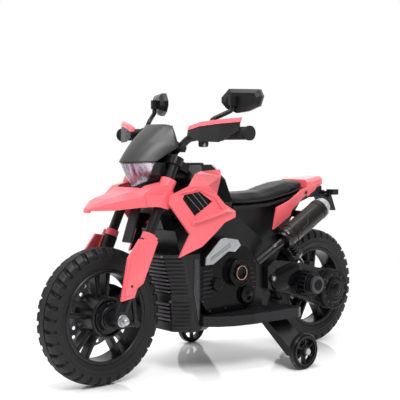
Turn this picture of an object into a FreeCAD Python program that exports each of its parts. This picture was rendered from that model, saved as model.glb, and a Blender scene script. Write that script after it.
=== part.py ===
import FreeCAD, Part
import math
import os
import Sketcher
from FreeCAD import Placement, Rotation, Vector

# Sizes of the motorbike in millimetres, degrees and counts
SIZES = {
    # Wheels
    "wheelbase": 760, "wheel_diameter": 340, "tyre_width": 66, "bead_diameter": 232,
    "tread_depth": 7, "tread_blocks": 34, "tread_gap": 7, "centre_rib": 20, "rib_groove": 4,
    "rim_width": 54, "rim_wall": 8, "rim_lip": 4, "hub_diameter": 100, "hub_width": 76,
    "neck_diameter": 54, "neck_width": 112, "spoke_pairs": 5, "spoke_width": 13, "spoke_depth": 24,
    "spoke_splay": 13.5, "axle_diameter": 12, "axle_play": 0.05,
    "disc_diameter": 166, "disc_thickness": 3, "disc_hole": 9, "disc_holes": 24,
    # Fork, in its own frame: origin at the front axle, Z up the tubes
    "rake": 25.5, "fork_spread": 150, "tube_diameter": 25, "tube_foot": 122, "tube_top": 430,
    "leg_diameter": 36, "leg_top": 206, "leg_bore_foot": 50, "leg_boss": 40, "leg_boss_width": 37,
    "fork_travel": 15, "steer_offset": 28, "stem_diameter": 24, "stem_foot": 292, "stem_top": 412,
    "clamp_thickness": 18, "head_diameter": 50, "head_foot": 315, "head_top": 405, "upper_clamp_foot": 409,
    "guard_face": 96, "guard_thickness": 7, "collar_diameter": 34, "collar_length": 17,
    # Handlebar
    "bar_diameter": 19, "bar_rise": 43, "bar_half": 258, "grip_diameter": 30, "grip_length": 104,
    "bar_setback": 197, "bar_z": 575, "grip_setback": 262, "bar_bend": 24, "bracket_width": 10,
    # Chassis
    "shell_half": 68, "shell_wall": 4, "floor_height": 124, "frame_half": 40, "neck_half": 22,
    "arch_half": 30, "cover_depth": 20, "clutch_diameter": 74, "clutch_ring": 42, "footboard_thickness": 26,
    "trim_face": 97, "fairing_thickness": 6, "seat_width": 138, "seat_thickness": 34,
    # Rear end
    "pivot_x": -142, "pivot_z": 222, "pivot_diameter": 12, "arm_gap": 120, "arm_depth": 24,
    "arm_wall": 3, "gear_module": 2, "drive_teeth": 48, "idler_teeth": 26, "pinion_teeth": 12,
    "gear_width": 10, "motor_angle": 13.9, "motor_diameter": 36, "motor_length": 50,
    "cover_diameter": 114, "cover_height": 18, "motor_cover": 72, "motor_cap": 50,
    "shock_y": 60, "shock_top_x": -215, "shock_top_z": 345, "shock_foot_x": -305, "shock_foot_z": 245,
    "shock_rod": 10, "shock_can": 17, "shock_eye": 18, "shock_pin": 8, "shock_play": 0.35,
    "spring_diameter": 30, "spring_wire": 4.2, "spring_turns": 6, "spring_length": 62,
    "muffler_diameter": 56, "muffler_y": 108, "muffler_front_x": -170, "muffler_front_z": 334,
    "muffler_rise": 28.5, "muffler_length": 158,
    # Stabiliser wheels
    "side_wheel_x": -114, "side_wheel_y": 225, "side_wheel_diameter": 95, "side_wheel_width": 23,
    "side_axle": 10, "side_arm_length": 72, "side_arm_thickness": 13,
    # Mirrors
    "mirror_setback": 325, "mirror_y": 165, "mirror_z": 701, "mirror_width": 112, "mirror_height": 62,
    "mirror_depth": 20, "mirror_toe": 24, "stem_wire": 12, "mirror_reach": 20, "mirror_inset": 18,
}

doc = FreeCAD.newDocument("KidsMotorbike")
sheet = doc.addObject("Spreadsheet::Sheet", "Sizes")
for row, (alias, number) in enumerate(SIZES.items(), 1):
    sheet.set(f"A{row}", alias)
    sheet.set(f"B{row}", str(number))
    sheet.setAlias(f"B{row}", alias)
doc.recompute()


class Size:
    """A number that remembers the sheet formula it was worked out with."""

    def __init__(self, value, text):
        self.value = float(value)
        self.text = text

    def __float__(self):
        return self.value

    def mixed(self, other, sign, flipped=False):
        other = other if isinstance(other, Size) else Size(other, f"({other})")
        a, b = (other, self) if flipped else (self, other)
        value = {"+": a.value + b.value, "-": a.value - b.value, "*": a.value * b.value}.get(sign)
        value = a.value / b.value if sign == "/" else value
        return Size(value, f"({a.text} {sign} {b.text})")

    def __add__(self, other):
        return self.mixed(other, "+")

    def __radd__(self, other):
        return self.mixed(other, "+", True)

    def __sub__(self, other):
        return self.mixed(other, "-")

    def __rsub__(self, other):
        return self.mixed(other, "-", True)

    def __mul__(self, other):
        return self.mixed(other, "*")

    def __rmul__(self, other):
        return self.mixed(other, "*", True)

    def __truediv__(self, other):
        return self.mixed(other, "/")

    def __neg__(self):
        return Size(0, "0") - self


class Sheet:
    """Gives each alias of the sheet as a Size."""

    def __getattr__(self, alias):
        return Size(sheet.get(alias), f"Sizes.{alias}")


s = Sheet()
AXLE_X = s.wheelbase / 2
AXLE_Z = s.wheel_diameter / 2
SUBPARTS = []


def cosine(angle):
    return Size(math.cos(math.radians(float(angle))), f"cos({angle.text})")


def sine(angle):
    return Size(math.sin(math.radians(float(angle))), f"sin({angle.text})")


def bind(obj, prop, size):
    if isinstance(size, Size):
        obj.setExpression(prop, size.text)
    else:
        setattr(obj, prop, size)


def place(obj, at=(0, 0, 0), axis=(0, 1, 0), angle=0):
    """Puts an object at a place, turned about one axis; each value may be a Size."""
    obj.Placement = Placement(Vector(*map(float, at)), Rotation(Vector(*axis), float(angle)))
    for name, value in zip("xyz", at):
        if isinstance(value, Size):
            obj.setExpression(f"Placement.Base.{name}", value.text)
    if isinstance(angle, Size):
        obj.setExpression("Placement.Rotation.Angle", angle.text)
    return obj


def on_fork(obj):
    """Stands an object that was drawn in the fork's frame on the front axle."""
    return place(group(obj), (AXLE_X, 0, AXLE_Z), (0, -1, 0), s.rake)


def keep(obj, label):
    """Names a finished sub-part and lists it for export."""
    obj.Label = label
    SUBPARTS.append(obj)
    return obj


def plane_of(body, role):
    return [feature for feature in body.Origin.OriginFeatures if feature.Role == role][0]


def outline(body, role, corners, offset=0):
    """A closed sketch of straight edges on a plane of the body, each corner bound to the sheet."""
    sketch = body.newObject("Sketcher::SketchObject", "Outline")
    sketch.AttachmentSupport = (plane_of(body, role), [""])
    sketch.MapMode = "FlatFace"
    sketch.AttachmentOffset = Placement(Vector(0, 0, float(offset)), Rotation())
    if isinstance(offset, Size):
        sketch.setExpression("AttachmentOffset.Base.z", offset.text)
    points = [Vector(float(a), float(b), 0) for a, b in corners]
    count = len(points)
    for i in range(count):
        sketch.addGeometry(Part.LineSegment(points[i], points[(i + 1) % count]))
    for i in range(count):
        sketch.addConstraint(Sketcher.Constraint("Coincident", i, 2, (i + 1) % count, 1))
    for i, pair in enumerate(corners):
        for kind, size in zip(("DistanceX", "DistanceY"), pair):
            number = sketch.addConstraint(Sketcher.Constraint(kind, -1, 1, i, 1, float(size)))
            if isinstance(size, Size):
                sketch.setExpression(f"Constraints[{number}]", size.text)
    return sketch


def pad(body, role, corners, start, depth):
    """Pads an outline from start towards the plane's positive axis by depth."""
    flip = role == "XZ_Plane"
    sketch = outline(body, role, corners, -start if flip else start)
    feature = body.newObject("PartDesign::Pad", "Pad")
    feature.Profile = sketch
    feature.Reversed = flip
    bind(feature, "Length", depth)
    doc.recompute()
    return feature


def prism(role, corners, start, depth):
    body = doc.addObject("PartDesign::Body", "Prism")
    pad(body, role, corners, start, depth)
    return body


def turned(corners):
    """A body turned about Y; corners are (y, radius)."""
    body = doc.addObject("PartDesign::Body", "Turned")
    sketch = outline(body, "YZ_Plane", corners)
    doc.recompute()
    feature = body.newObject("PartDesign::Revolution", "Turn")
    feature.Profile = sketch
    feature.ReferenceAxis = (sketch, ["H_Axis"])
    feature.Angle = 360
    doc.recompute()
    return body


def around(body, feature, count):
    """Repeats a feature of the body around its Y axis."""
    pattern = body.newObject("PartDesign::PolarPattern", "Around")
    pattern.Originals = [feature]
    pattern.Axis = (plane_of(body, "Y_Axis"), [""])
    pattern.Angle = 360
    bind(pattern, "Occurrences", count)
    body.Tip = pattern
    doc.recompute()
    return pattern


def rod(radius, start, length, at=(0, 0), sweep=360):
    """A cylinder along Y that starts at y = start; at is its (x, z)."""
    item = doc.addObject("Part::Cylinder", "Rod")
    bind(item, "Radius", radius)
    bind(item, "Height", length)
    item.Angle = sweep
    return place(item, (at[0], start, at[1]), (-1, 0, 0), 90)


def post(radius, foot, length, at=(0, 0), sweep=360):
    """A cylinder along Z that starts at z = foot; at is its (x, y)."""
    item = doc.addObject("Part::Cylinder", "Post")
    bind(item, "Radius", radius)
    bind(item, "Height", length)
    item.Angle = sweep
    return place(item, (at[0], at[1], foot))


def block(low, high):
    """A box between two opposite corners."""
    item = doc.addObject("Part::Box", "Block")
    for prop, a, b in zip(("Length", "Width", "Height"), low, high):
        bind(item, prop, b - a)
    return place(item, low)


def fuse(*items):
    joined = doc.addObject("Part::MultiFuse", "Joined")
    joined.Shapes = list(items)
    joined.Refine = True
    return joined


def cut(base, *tools):
    result = doc.addObject("Part::Cut", "Cut")
    result.Base = base
    result.Tool = tools[0] if len(tools) == 1 else fuse(*tools)
    result.Refine = True
    return result


def mirrored(item):
    """The same piece on the other side of the machine."""
    copy = doc.addObject("Part::Mirroring", "Mirrored")
    copy.Source = item
    copy.Normal = Vector(0, 1, 0)
    return copy


def group(*items):
    """Separate solids that share one node."""
    compound = doc.addObject("Part::Compound", "Group")
    compound.Links = list(items)
    return compound


def pair(item):
    return group(item, mirrored(item))


def feature(shape):
    item = doc.addObject("Part::Feature", "Formed")
    item.Shape = shape
    return item


def facets(outer, inner, faces):
    """A thin solid between two sheets of corners that share the same triangles."""
    names = list(outer)
    top = {name: Vector(*map(float, outer[name])) for name in names}
    low = {name: Vector(*map(float, inner[name])) for name in names}
    edges = {}
    sides = []
    for face in faces:
        sides.append([top[name] for name in face])
        sides.append([low[name] for name in reversed(face)])
        for a, b in zip(face, face[1:] + face[:1]):
            edges[(a, b)] = (b, a)
    for (a, b), twin in edges.items():
        if twin not in edges:
            sides.append([top[a], low[a], low[b]])
            sides.append([top[a], low[b], top[b]])
    skins = [Part.Face(Part.makePolygon(side + side[:1])) for side in sides]
    shell = Part.makeShell(skins)
    shell.sewShape()
    solid = Part.makeSolid(shell)
    if solid.Volume < 0:
        solid.reverse()
    return feature(solid.removeSplitter())


def shifted(points, dx, dy, dz):
    return {name: (x + dx, y + dy, z + dz) for name, (x, y, z) in points.items()}


def lofted(sections):
    """A ruled solid through closed rings of points."""
    wires = [Part.makePolygon([Vector(*map(float, p)) for p in ring + ring[:1]]) for ring in sections]
    return feature(Part.makeLoft(wires, True, True))


def bend_path(points, radius):
    """Straight runs joined by tangent arcs of one radius."""
    points = [Vector(*map(float, p)) for p in points]
    edges = []
    start = points[0]
    for a, b, c in zip(points, points[1:], points[2:]):
        back = (a - b).normalize()
        ahead = (c - b).normalize()
        half = back.getAngle(ahead) / 2
        reach = radius / math.tan(half)
        first = b + back * reach
        last = b + ahead * reach
        centre = b + (back + ahead).normalize() * (radius / math.sin(half))
        middle = centre + (b - centre).normalize() * radius
        edges.append(Part.makeLine(start, first))
        edges.append(Part.Arc(first, middle, last).toShape())
        start = last
    edges.append(Part.makeLine(start, points[-1]))
    return Part.Wire(edges)


def pipe(path, radius):
    """A round bar along a wire."""
    edge = path.Edges[0]
    start = edge.valueAt(edge.FirstParameter)
    ring = Part.Wire(Part.makeCircle(float(radius), start, edge.tangentAt(edge.FirstParameter)))
    return path.makePipeShell([ring], True, True)


def arc_from(start, tangent, end):
    """The arc that leaves start along tangent and reaches end."""
    chord = end - start
    along = chord.Length / (2 * chord.normalize().dot(tangent))
    centre_side = (end - start) - tangent * (end - start).dot(tangent)
    radius = (end - start).dot(end - start) / (2 * centre_side.Length)
    centre = start + centre_side.normalize() * radius
    knee = start + tangent * along
    middle = centre + (knee - centre).normalize() * radius
    return Part.Arc(start, middle, end).toShape()


def coil(radius, wire, turns, length):
    """A coil spring along Z: a round wire on pairs of tangent arcs, two for each half turn."""
    pitch = length / turns
    halves = int(round(turns * 2))

    def point(angle):
        return Vector(radius * math.cos(angle), radius * math.sin(angle), pitch * angle / (2 * math.pi))

    def tangent(angle):
        return Vector(-radius * math.sin(angle), radius * math.cos(angle), pitch / (2 * math.pi)).normalize()

    edges = []
    for i in range(halves * 2):
        p, q = point(i * math.pi / 2), point((i + 1) * math.pi / 2)
        u, v = tangent(i * math.pi / 2), tangent((i + 1) * math.pi / 2)
        chord = q - p
        spread = 2 * (1 - u.dot(v))
        lean = chord.dot(u + v)
        reach = (math.sqrt(lean * lean + spread * chord.dot(chord)) - lean) / spread
        middle = (p + u * reach + q - v * reach) * 0.5
        edges.append(arc_from(p, u, middle))
        edges.append(arc_from(q, v * -1, middle))
    path = Part.Wire(Part.__sortEdges__(edges))
    print("coil gap to itself", round(pitch * radius / math.hypot(radius, pitch / (2 * math.pi)) - wire, 2))
    return pipe(path, wire / 2)


def pocket(body, role, corners, start, depth):
    """Cuts an outline from start towards the plane's positive axis by depth."""
    flip = role == "XZ_Plane"
    sketch = outline(body, role, corners, -start if flip else start)
    feature_cut = body.newObject("PartDesign::Pocket", "Pocket")
    feature_cut.Profile = sketch
    feature_cut.Reversed = not flip
    bind(feature_cut, "Length", depth)
    doc.recompute()
    return feature_cut


def rectangle(a, b, c, d):
    """Corners of a rectangle from (a, b) to (c, d)."""
    return [(a, b), (c, b), (c, d), (a, d)]


# Wheels
def tyre(label, at_x):
    wide = s.tyre_width / 2
    top = s.wheel_diameter / 2
    low = s.bead_diameter / 2
    rib = s.centre_rib / 2
    groove = rib + s.rib_groove
    floor = top - s.tread_depth
    half = [(s.rim_width / 2, low), (wide - 2, low + 10), (wide, low + 22), (wide, floor - 10),
            (wide - 3, top - 9), (wide - 12, top - 3), (groove, top - 1.5), (groove, floor), (rib, floor),
            (rib, top)]
    body = turned(half + [(-y, r) for y, r in reversed(half)])
    slot = s.tread_gap / 2
    for start in (groove, -wide - 2):
        notch = pocket(body, "XZ_Plane", rectangle(-slot, floor, slot, top + 5), start, wide + 2 - groove)
        around(body, notch, s.tread_blocks)
    return keep(place(body, (at_x, 0, AXLE_Z)), label)


def rim(label, at_x):
    seat = s.bead_diameter / 2
    inner = seat - s.rim_wall
    side = s.rim_width / 2
    hub = s.hub_diameter / 2
    neck = s.neck_diameter / 2
    bore = s.axle_diameter / 2 + s.axle_play
    spoke = s.spoke_width / 2
    deep = s.spoke_depth / 2
    half = s.hub_width / 2
    end = s.neck_width / 2
    body = turned([(side, inner), (side, seat), (-side, seat), (-side, inner)])
    for lean in (-1, 1):
        middle = lean * s.spoke_splay * 1.35
        bars = pad(body, "XZ_Plane", [(middle * 0.55 - spoke, hub - 8), (middle * 0.55 + spoke, hub - 8),
                                      (middle + spoke, inner + 3), (middle - spoke, inner + 3)], -deep,
                                      deep * 2)
        around(body, bars, s.spoke_pairs)
    drum = turned([(end, bore), (end, neck), (half, neck), (half, hub - 12), (half - 6, hub - 12),
                   (half - 6, hub - 6),
                   (half, hub - 6), (half, hub), (-half, hub), (-half, neck), (-end, neck), (-end, bore)])
    return keep(place(fuse(body, drum), (at_x, 0, AXLE_Z)), label)


tyre("front_tyre", AXLE_X)
rim("front_rim", AXLE_X)
tyre("rear_tyre", -AXLE_X)
rim("rear_rim", -AXLE_X)

disc_y = -s.hub_width / 2 - s.disc_thickness
disc = rod(s.disc_diameter / 2, disc_y, s.disc_thickness)
disc_cuts = [rod(s.neck_diameter / 2, disc_y - 1, s.disc_thickness + 2)]
for i in range(int(float(s.disc_holes))):
    turn = math.radians(360 * i / float(s.disc_holes))
    ring = s.disc_diameter / 2 - (10 if i % 2 else 24)
    hole = rod(s.disc_hole / 2, disc_y - 1, s.disc_thickness + 2,
               (ring * math.cos(turn), ring * math.sin(turn)))
    disc_cuts.append(hole)
keep(place(cut(disc, *disc_cuts), (AXLE_X, 0, AXLE_Z)), "brake_disc")

# Fork, drawn in the fork frame
tube_y = s.fork_spread / 2
tube_r = s.tube_diameter / 2
tube = post(tube_r, s.tube_foot, s.tube_top - s.tube_foot, (0, tube_y))
keep(on_fork(pair(tube)), "fork_tubes")

leg = fuse(post(s.leg_diameter / 2, 0, s.leg_top, (0, tube_y)),
           rod(s.leg_boss / 2, tube_y - s.leg_boss_width / 2, s.leg_boss_width))
leg = cut(leg, post(tube_r + s.axle_play, s.leg_bore_foot, s.leg_top, (0, tube_y)),
          rod(s.axle_diameter / 2, 0, s.fork_spread))
caliper_y = disc_y + s.disc_thickness / 2
caliper = fuse(block((-60, caliper_y - 12, 58), (-30, caliper_y + 8, 90)),
               block((-40, -tube_y - 8, 64), (-10, caliper_y - 8, 86)))
caliper = cut(caliper, block((-70, caliper_y - 3.2, 50), (-25, caliper_y + 3.2, 110)))
right_leg = fuse(mirrored(leg), cut(caliper, mirrored(post(tube_r + 2, 40, 90, (0, tube_y)))))
keep(on_fork(group(leg, right_leg)), "fork_legs")

guard_points = [(24, 41), (-8, 62), (-7, 86), (-19, 103), (-18, 212), (36, 197), (49, 142)]
leg_room = post(s.leg_diameter / 2, 0, s.leg_top, (0, tube_y))
guard = cut(prism("XZ_Plane", guard_points, s.guard_face - s.guard_thickness, s.guard_thickness), leg_room)
guard_web = block((-17, tube_y + 8, 110), (16, s.guard_face - s.guard_thickness, 205))
guard_web = cut(guard_web, post(s.leg_diameter / 2, 0, 400, (0, tube_y)))
collar = cut(post(s.collar_diameter / 2, s.leg_top, s.collar_length, (0, tube_y)),
             post(tube_r + s.axle_play * 2, s.leg_top - 5, s.collar_length + 10, (0, tube_y)))
collar_web = cut(block((-14, tube_y + 15, s.leg_top - 20),
                       (14, s.guard_face - 1, s.leg_top + s.collar_length - 4)),
                 post(s.leg_diameter / 2, 0, s.leg_top, (0, tube_y)),
                 post(s.collar_diameter / 2, s.leg_top, s.collar_length, (0, tube_y)))
keep(on_fork(pair(fuse(guard, guard_web, collar, collar_web))), "fork_guards")

axle_end = s.fork_spread / 2 + s.leg_boss_width / 2
axle = fuse(rod(s.axle_diameter / 2, -axle_end - 2, axle_end * 2 + 4),
            rod(s.axle_diameter * 0.85, axle_end, 12), rod(s.axle_diameter * 0.85, -axle_end - 12, 12))
keep(place(axle, (AXLE_X, 0, AXLE_Z)), "front_axle")

# Steering stem with the lower clamp and the splash plate
steer_x = -s.steer_offset
stem_r = s.stem_diameter / 2
clamp = fuse(block((-s.steer_offset - 18, -tube_y, s.stem_foot),
                   (14, tube_y, s.stem_foot + s.clamp_thickness)),
             post(19, s.stem_foot, s.clamp_thickness, (0, tube_y)),
             post(19, s.stem_foot, s.clamp_thickness, (0, -tube_y)))
clamp = cut(clamp, post(tube_r, s.stem_foot - 1, s.clamp_thickness + 2, (0, tube_y)),
            post(tube_r, s.stem_foot - 1, s.clamp_thickness + 2, (0, -tube_y)))
splash = prism("XZ_Plane", [(8, s.stem_foot + 2), (14, s.stem_foot + 2), (3, 194), (-3, 194)], -17, 34)
keep(on_fork(fuse(clamp, splash, post(stem_r, s.stem_foot, s.stem_top - s.stem_foot, (steer_x, 0)))),
     "steering_stem")

top_foot = s.upper_clamp_foot
top_end = s.tube_top
plate = fuse(block((-s.steer_offset - 20, -tube_y, top_foot), (16, tube_y, top_end)),
             post(19, top_foot, top_end - top_foot, (0, tube_y)),
             post(19, top_foot, top_end - top_foot, (0, -tube_y)))
plate = cut(plate, post(tube_r, top_foot - 1, 40, (0, tube_y)), post(tube_r, top_foot - 1, 40, (0, -tube_y)),
            post(stem_r, top_foot - 1, s.stem_top - top_foot + 1, (steer_x, 0)))
bar_r = s.bar_diameter / 2
risers = [block((-20, y - 13, top_end), (14, y + 13, top_end + 34)) for y in (-36, 36)]
bar_x = AXLE_X - s.bar_setback
grip_x = AXLE_X - s.grip_setback
bar_ahead = -s.bar_setback
bar_above = s.bar_z - AXLE_Z
bar_local = (bar_ahead * cosine(s.rake) + bar_above * sine(s.rake),
             bar_above * cosine(s.rake) - bar_ahead * sine(s.rake))
plate = cut(fuse(plate, *risers), rod(bar_r, -80, 160, bar_local))
keep(on_fork(plate), "upper_clamp")

# Handlebar, grips, hand guards and mirror stems
grip_z = s.bar_z + s.bar_rise
grip_at = (grip_x, grip_z)
grip_end = s.bar_half - 2
bracket_y = grip_end - s.grip_length - s.bracket_width - 4
bar_elbow = bracket_y - 6
bar_straight = s.bar_half * 0.2326
bar_shoulder = bar_straight + s.bar_half * 0.124
shoulder_x = bar_x - 13
shoulder_z = s.bar_z + s.bar_rise * 0.72
bar_path = [(grip_x, -s.bar_half, grip_z), (grip_x, -bar_elbow, grip_z),
            (shoulder_x, -bar_shoulder, shoulder_z),
            (bar_x, -bar_straight, s.bar_z), (bar_x, bar_straight, s.bar_z),
            (shoulder_x, bar_shoulder, shoulder_z),
            (grip_x, bar_elbow, grip_z), (grip_x, s.bar_half, grip_z)]
handlebar = feature(pipe(bend_path(bar_path, float(s.bar_bend)), bar_r))
keep(handlebar, "handlebar")
grip = fuse(rod(s.grip_diameter / 2, grip_end - s.grip_length, s.grip_length, grip_at),
            rod(s.grip_diameter / 2 + 4, grip_end - s.grip_length, 4, grip_at),
            rod(s.grip_diameter / 2 + 3, grip_end - 3, 6, grip_at))
keep(pair(cut(grip, rod(bar_r, 0, s.bar_half, grip_at))), "grips")

# Hand guard stations: ahead of the grip, in from the bar end, heights of the top and lower edges
guard_line = [("a", 79, 142, 636, 613), ("b", 69, 108, 646, 598), ("c", 48, 61, 652, 596),
              ("d", 18, 20, 656, 624)]
screen_outer = {}
strip_outer = {}
for name, ahead, inward, top, low in guard_line:
    x = float(grip_x) + ahead
    y = float(s.bar_half) - inward
    screen_outer[name + "low"] = (x, y, low)
    screen_outer[name + "top"] = (x - 3, y, top - 11)
    strip_outer[name + "low"] = (x - 1, y, top - 11)
    strip_outer[name + "top"] = (x - 6, y, top)
strip_faces = []
for a, b in zip("abc", "bcd"):
    strip_faces += [[a + "low", b + "low", b + "top"], [a + "low", b + "top", a + "top"]]
keep(pair(facets(screen_outer, shifted(screen_outer, -4, -2, 0), strip_faces)), "hand_guards")
keep(pair(facets(strip_outer, shifted(strip_outer, -9, -4, 0), strip_faces)), "guard_strips")

arm_ring = rod(bar_r + 6, bracket_y, s.bracket_width, grip_at)
guard_arm = block((grip_x + 6, bracket_y, grip_z - 7), (grip_x + 68, bracket_y + 8, grip_z + 5))
mirror_foot = (grip_x, bracket_y + 5, grip_z + 11)
mirror_knee = (grip_x + 14, bracket_y - 18, grip_z + 30)
mirror_x = AXLE_X - s.mirror_setback
joint_x = mirror_x + s.mirror_reach * cosine(s.mirror_toe) + s.mirror_inset * sine(s.mirror_toe)
joint_y = s.mirror_y + s.mirror_reach * sine(s.mirror_toe) - s.mirror_inset * cosine(s.mirror_toe)
stem_path = bend_path([mirror_foot, mirror_knee, (joint_x, joint_y, s.mirror_z - 24),
                       (joint_x, joint_y, s.mirror_z + 6)], 12)
mirror_stem = feature(pipe(stem_path, s.stem_wire / 2))
brackets = cut(fuse(arm_ring, guard_arm, mirror_stem), rod(bar_r, 0, s.bar_half, grip_at), handlebar)
guard_back = facets(shifted(screen_outer, 0, 0, 0), shifted(screen_outer, -4, -2, 0), strip_faces)
keep(pair(cut(brackets, guard_back)), "bar_brackets")

half_w = s.mirror_width / 2
half_h = s.mirror_height / 2
shape = [(-1, -0.12), (-0.75, -0.62), (-0.26, -1), (0.3, -0.86), (0.86, -0.45), (1, 0.35), (0.86, 0.9),
         (-0.62, 1), (-1, 0.3)]
rear = [(-s.mirror_depth / 2, half_w * a, half_h * b) for a, b in shape]
front = [(s.mirror_depth * 0.1, half_w * a, half_h * b) for a, b in shape]
back = [(s.mirror_depth / 2, half_w * a * 0.74, half_h * b * 0.66) for a, b in shape]
dish = lofted([rear, front, back])
glass_low = [(-s.mirror_depth / 2 - 0.01, half_w * a * 0.93, half_h * b * 0.9) for a, b in shape]
glass_top = [(-s.mirror_depth / 2 + 2.5, half_w * a * 0.93, half_h * b * 0.9) for a, b in shape]
recess = lofted([glass_low, glass_top])
joint_at = (s.mirror_reach, -s.mirror_inset)
boss = fuse(post(s.stem_wire / 2 + 4, -12, 24, joint_at),
            block((4, -s.mirror_inset - 6, -9), (s.mirror_reach, -s.mirror_inset + 6, 9)))
head = cut(fuse(dish, boss), recess, post(s.stem_wire / 2 + 0.4, -30, 37, joint_at))
glass = lofted([[(x + 0.01, y, z) for x, y, z in glass_low], glass_top])
for item, label in ((head, "mirror_head"), (glass, "mirror_glass")):
    left = place(group(item), (mirror_x, s.mirror_y, s.mirror_z), (0, 0, 1), s.mirror_toe)
    doc.recompute()
    keep(left, label + "_left")
    keep(mirrored(left), label + "_right")

# Headlight, windscreen, dash and front beak
COLUMNS = (-1, -0.5, 0, 0.5, 1)
front_x = float(AXLE_X) - 380


def lamp_grid(grow, back, taper):
    """Rows of the lamp's front down to its foot; grow widens, back sets behind, taper narrows the foot."""
    grid = {}
    for i, v in enumerate(COLUMNS):
        low = v * taper
        middle = v * (1 + taper) / 2
        rows = ((front_x + 300 - 50 * v * v, 56 * v, 545),
                (front_x + 291 - 47 * middle * middle, 54 * middle, 516),
                (front_x + 280 - 40 * low * low, 45 * low, 480 + 24 * abs(low)))
        for j, (x, y, z) in enumerate(rows):
            grid[f"{j}{i}"] = (x - back, y * grow, 516 + (z - 516) * (grow if z < 516 else 1))
    return grid


def grid_faces(rows, columns):
    faces = []
    for j in range(rows - 1):
        for i in range(columns - 1):
            a, b, c, d = f"{j}{i}", f"{j}{i + 1}", f"{j + 1}{i + 1}", f"{j + 1}{i}"
            faces += [[a, d, c], [a, c, b]]
    return faces


lamp_faces = grid_faces(3, 5)
lens_front = lamp_grid(1, 0, 0.78)
keep(facets(lens_front, shifted(lens_front, -4, 0, 0), lamp_faces), "headlight_lens")
housing_front = lamp_grid(1.15, 4, 1)
housing = facets(housing_front, shifted(housing_front, -22, 0, 0), lamp_faces)
tube_room = on_fork(pair(post(tube_r, 250, 260, (0, tube_y))))
sleeve_room = on_fork(pair(post(20.2, 250, 119.4, (0, tube_y))))
clamp_room = on_fork(block((-60, -95, top_foot - 0.3), (20, 95, top_end + 30)))
lens_room = facets(shifted(lens_front, 30, 0, 0), shifted(lens_front, -4, 0, 0), lamp_faces)
keep(cut(cut(housing, lens_room), tube_room, sleeve_room, clamp_room), "headlight_housing")

screen_rows = [[(308, 0, 545.5), (293, 32, 545.5), (250, 61, 548.5)],
               [(262, 0, 595), (253, 35, 595), (192, 78, 585)],
               [(205, 0, 640), (202, 29, 640), (192, 56, 637)]]
screen = {}
for j, row in enumerate(screen_rows):
    for i, (x, y, z) in enumerate(row):
        screen[f"{j}{2 + i}"] = (front_x + x, y, z)
        screen[f"{j}{2 - i}"] = (front_x + x, -y, z)
keep(facets(screen, shifted(screen, -2.5, 0, -2.5), lamp_faces), "windscreen")

dash_foot = top_end + 34
dash_top = dash_foot + 14
button_at = (-26, 24)
switch_at = (-26, dash_top - 2)
dash = cut(block((-42, -46, dash_foot), (18, 46, dash_top)),
           post(7.35, dash_top - 7, 20, button_at), rod(7.3, -34.4, 20.8, switch_at))
keep(on_fork(dash), "dash_panel")
keep(on_fork(post(7, dash_top - 4.2, 8, button_at)), "power_button")
paddle = fuse(rod(7, -34, 20, switch_at), block((-28, -32, dash_top + 2), (-24, -16, dash_top + 9)))
keep(on_fork(paddle), "direction_switch")

beak_rows = [(421, 9, 429, 430, 431), (418, 10, 430, 435, 437), (376, 50, 431, 450, 459),
             (310, 76, 437, 464, 475),
             (280, 83, 437, 486, 490), (228, 97, 432, 494, 499)]


def beak(wall):
    """Rows of beak corners from the nose to the rear edge; wall draws them in."""
    grid = {}
    for j, (x, wide, low, shoulder, top) in enumerate(beak_rows):
        ahead = wall * 1.4 if j < 2 else 0
        side = [(wide - wall, low - wall * (j == 0)), (wide - wall, shoulder - wall * 0.8),
                (wide * 0.5, top - wall)]
        profile = [(-y, z) for y, z in side] + [(y, z) for y, z in reversed(side)]
        for i, (y, z) in enumerate(profile):
            grid[f"{j}{i}"] = (front_x + x - ahead, y, z)
    return grid


sleeve_foot = s.stem_foot + s.clamp_thickness + 0.5
sleeve = cut(post(20, sleeve_foot, 369 - sleeve_foot, (0, tube_y)), post(tube_r, 250, 260, (0, tube_y)))
clamp_slot = on_fork(block((-55, -tube_y - 20, 240), (20, tube_y + 20, sleeve_foot)))
sleeve_slot = on_fork(pair(post(19, 250, 200, (0, tube_y))))
beak_shell = facets(beak(0), beak(4), grid_faces(6, 6))
open_beak = cut(beak_shell, block((front_x + 190, -52, 400), (front_x + 292, 52, 540)), clamp_slot,
                sleeve_slot)
left_sleeve = on_fork(sleeve)
sleeved_beak = fuse(open_beak, left_sleeve, mirrored(left_sleeve))
sleeved_beak.Refine = False
keep(sleeved_beak, "front_fender")

# Body shell halves
half = s.shell_half
wall = s.shell_wall
ground = s.floor_height
main_points = [(-118, ground), (145, ground), (150, 203), (178, 312), (196, 372), (150, 400), (-20, 400),
               (-118, 330)]
hollow_points = [(-113, ground + wall), (141, ground + wall), (146, 203), (174, 312), (190, 369), (148, 396),
                 (-18, 396), (-113, 328)]
frame_points = [(-20, 396), (-18, 417), (-60, 417), (-150, 420), (-240, 434), (-312, 450), (-395, 470),
                (-395, 455),
                (-300, 425), (-270, 388), (-240, 352), (-205, 338), (-117, 328)]
pan_points = [(-18, 417), (-18, 425), (-60, 425), (-150, 428), (-240, 442), (-312, 458), (-312, 450),
              (-240, 434),
              (-150, 420), (-60, 417)]
neck_points = [(150, 399), (195, 373), (AXLE_X - 176, 398), (AXLE_X - 188, 427), (AXLE_X - 168, 446),
               (AXLE_X - 200, 520),
               (AXLE_X - 220, 512)]
arch_points = [(-113, 128), (-170, 128), (-187, 165), (-190, 200), (-212, 262), (-223, 280), (-244, 306),
               (-262, 335),
               (-240, 353), (-205, 339), (-113, 330)]
lug_points = [(-117, 180), (-117, 262), (-150, 252), (-164, 224), (-150, 196)]
main = doc.addObject("PartDesign::Body", "Main")
pad(main, "XZ_Plane", main_points, 0, half)
pocket(main, "XZ_Plane", hollow_points, 0, half - wall)
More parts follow.
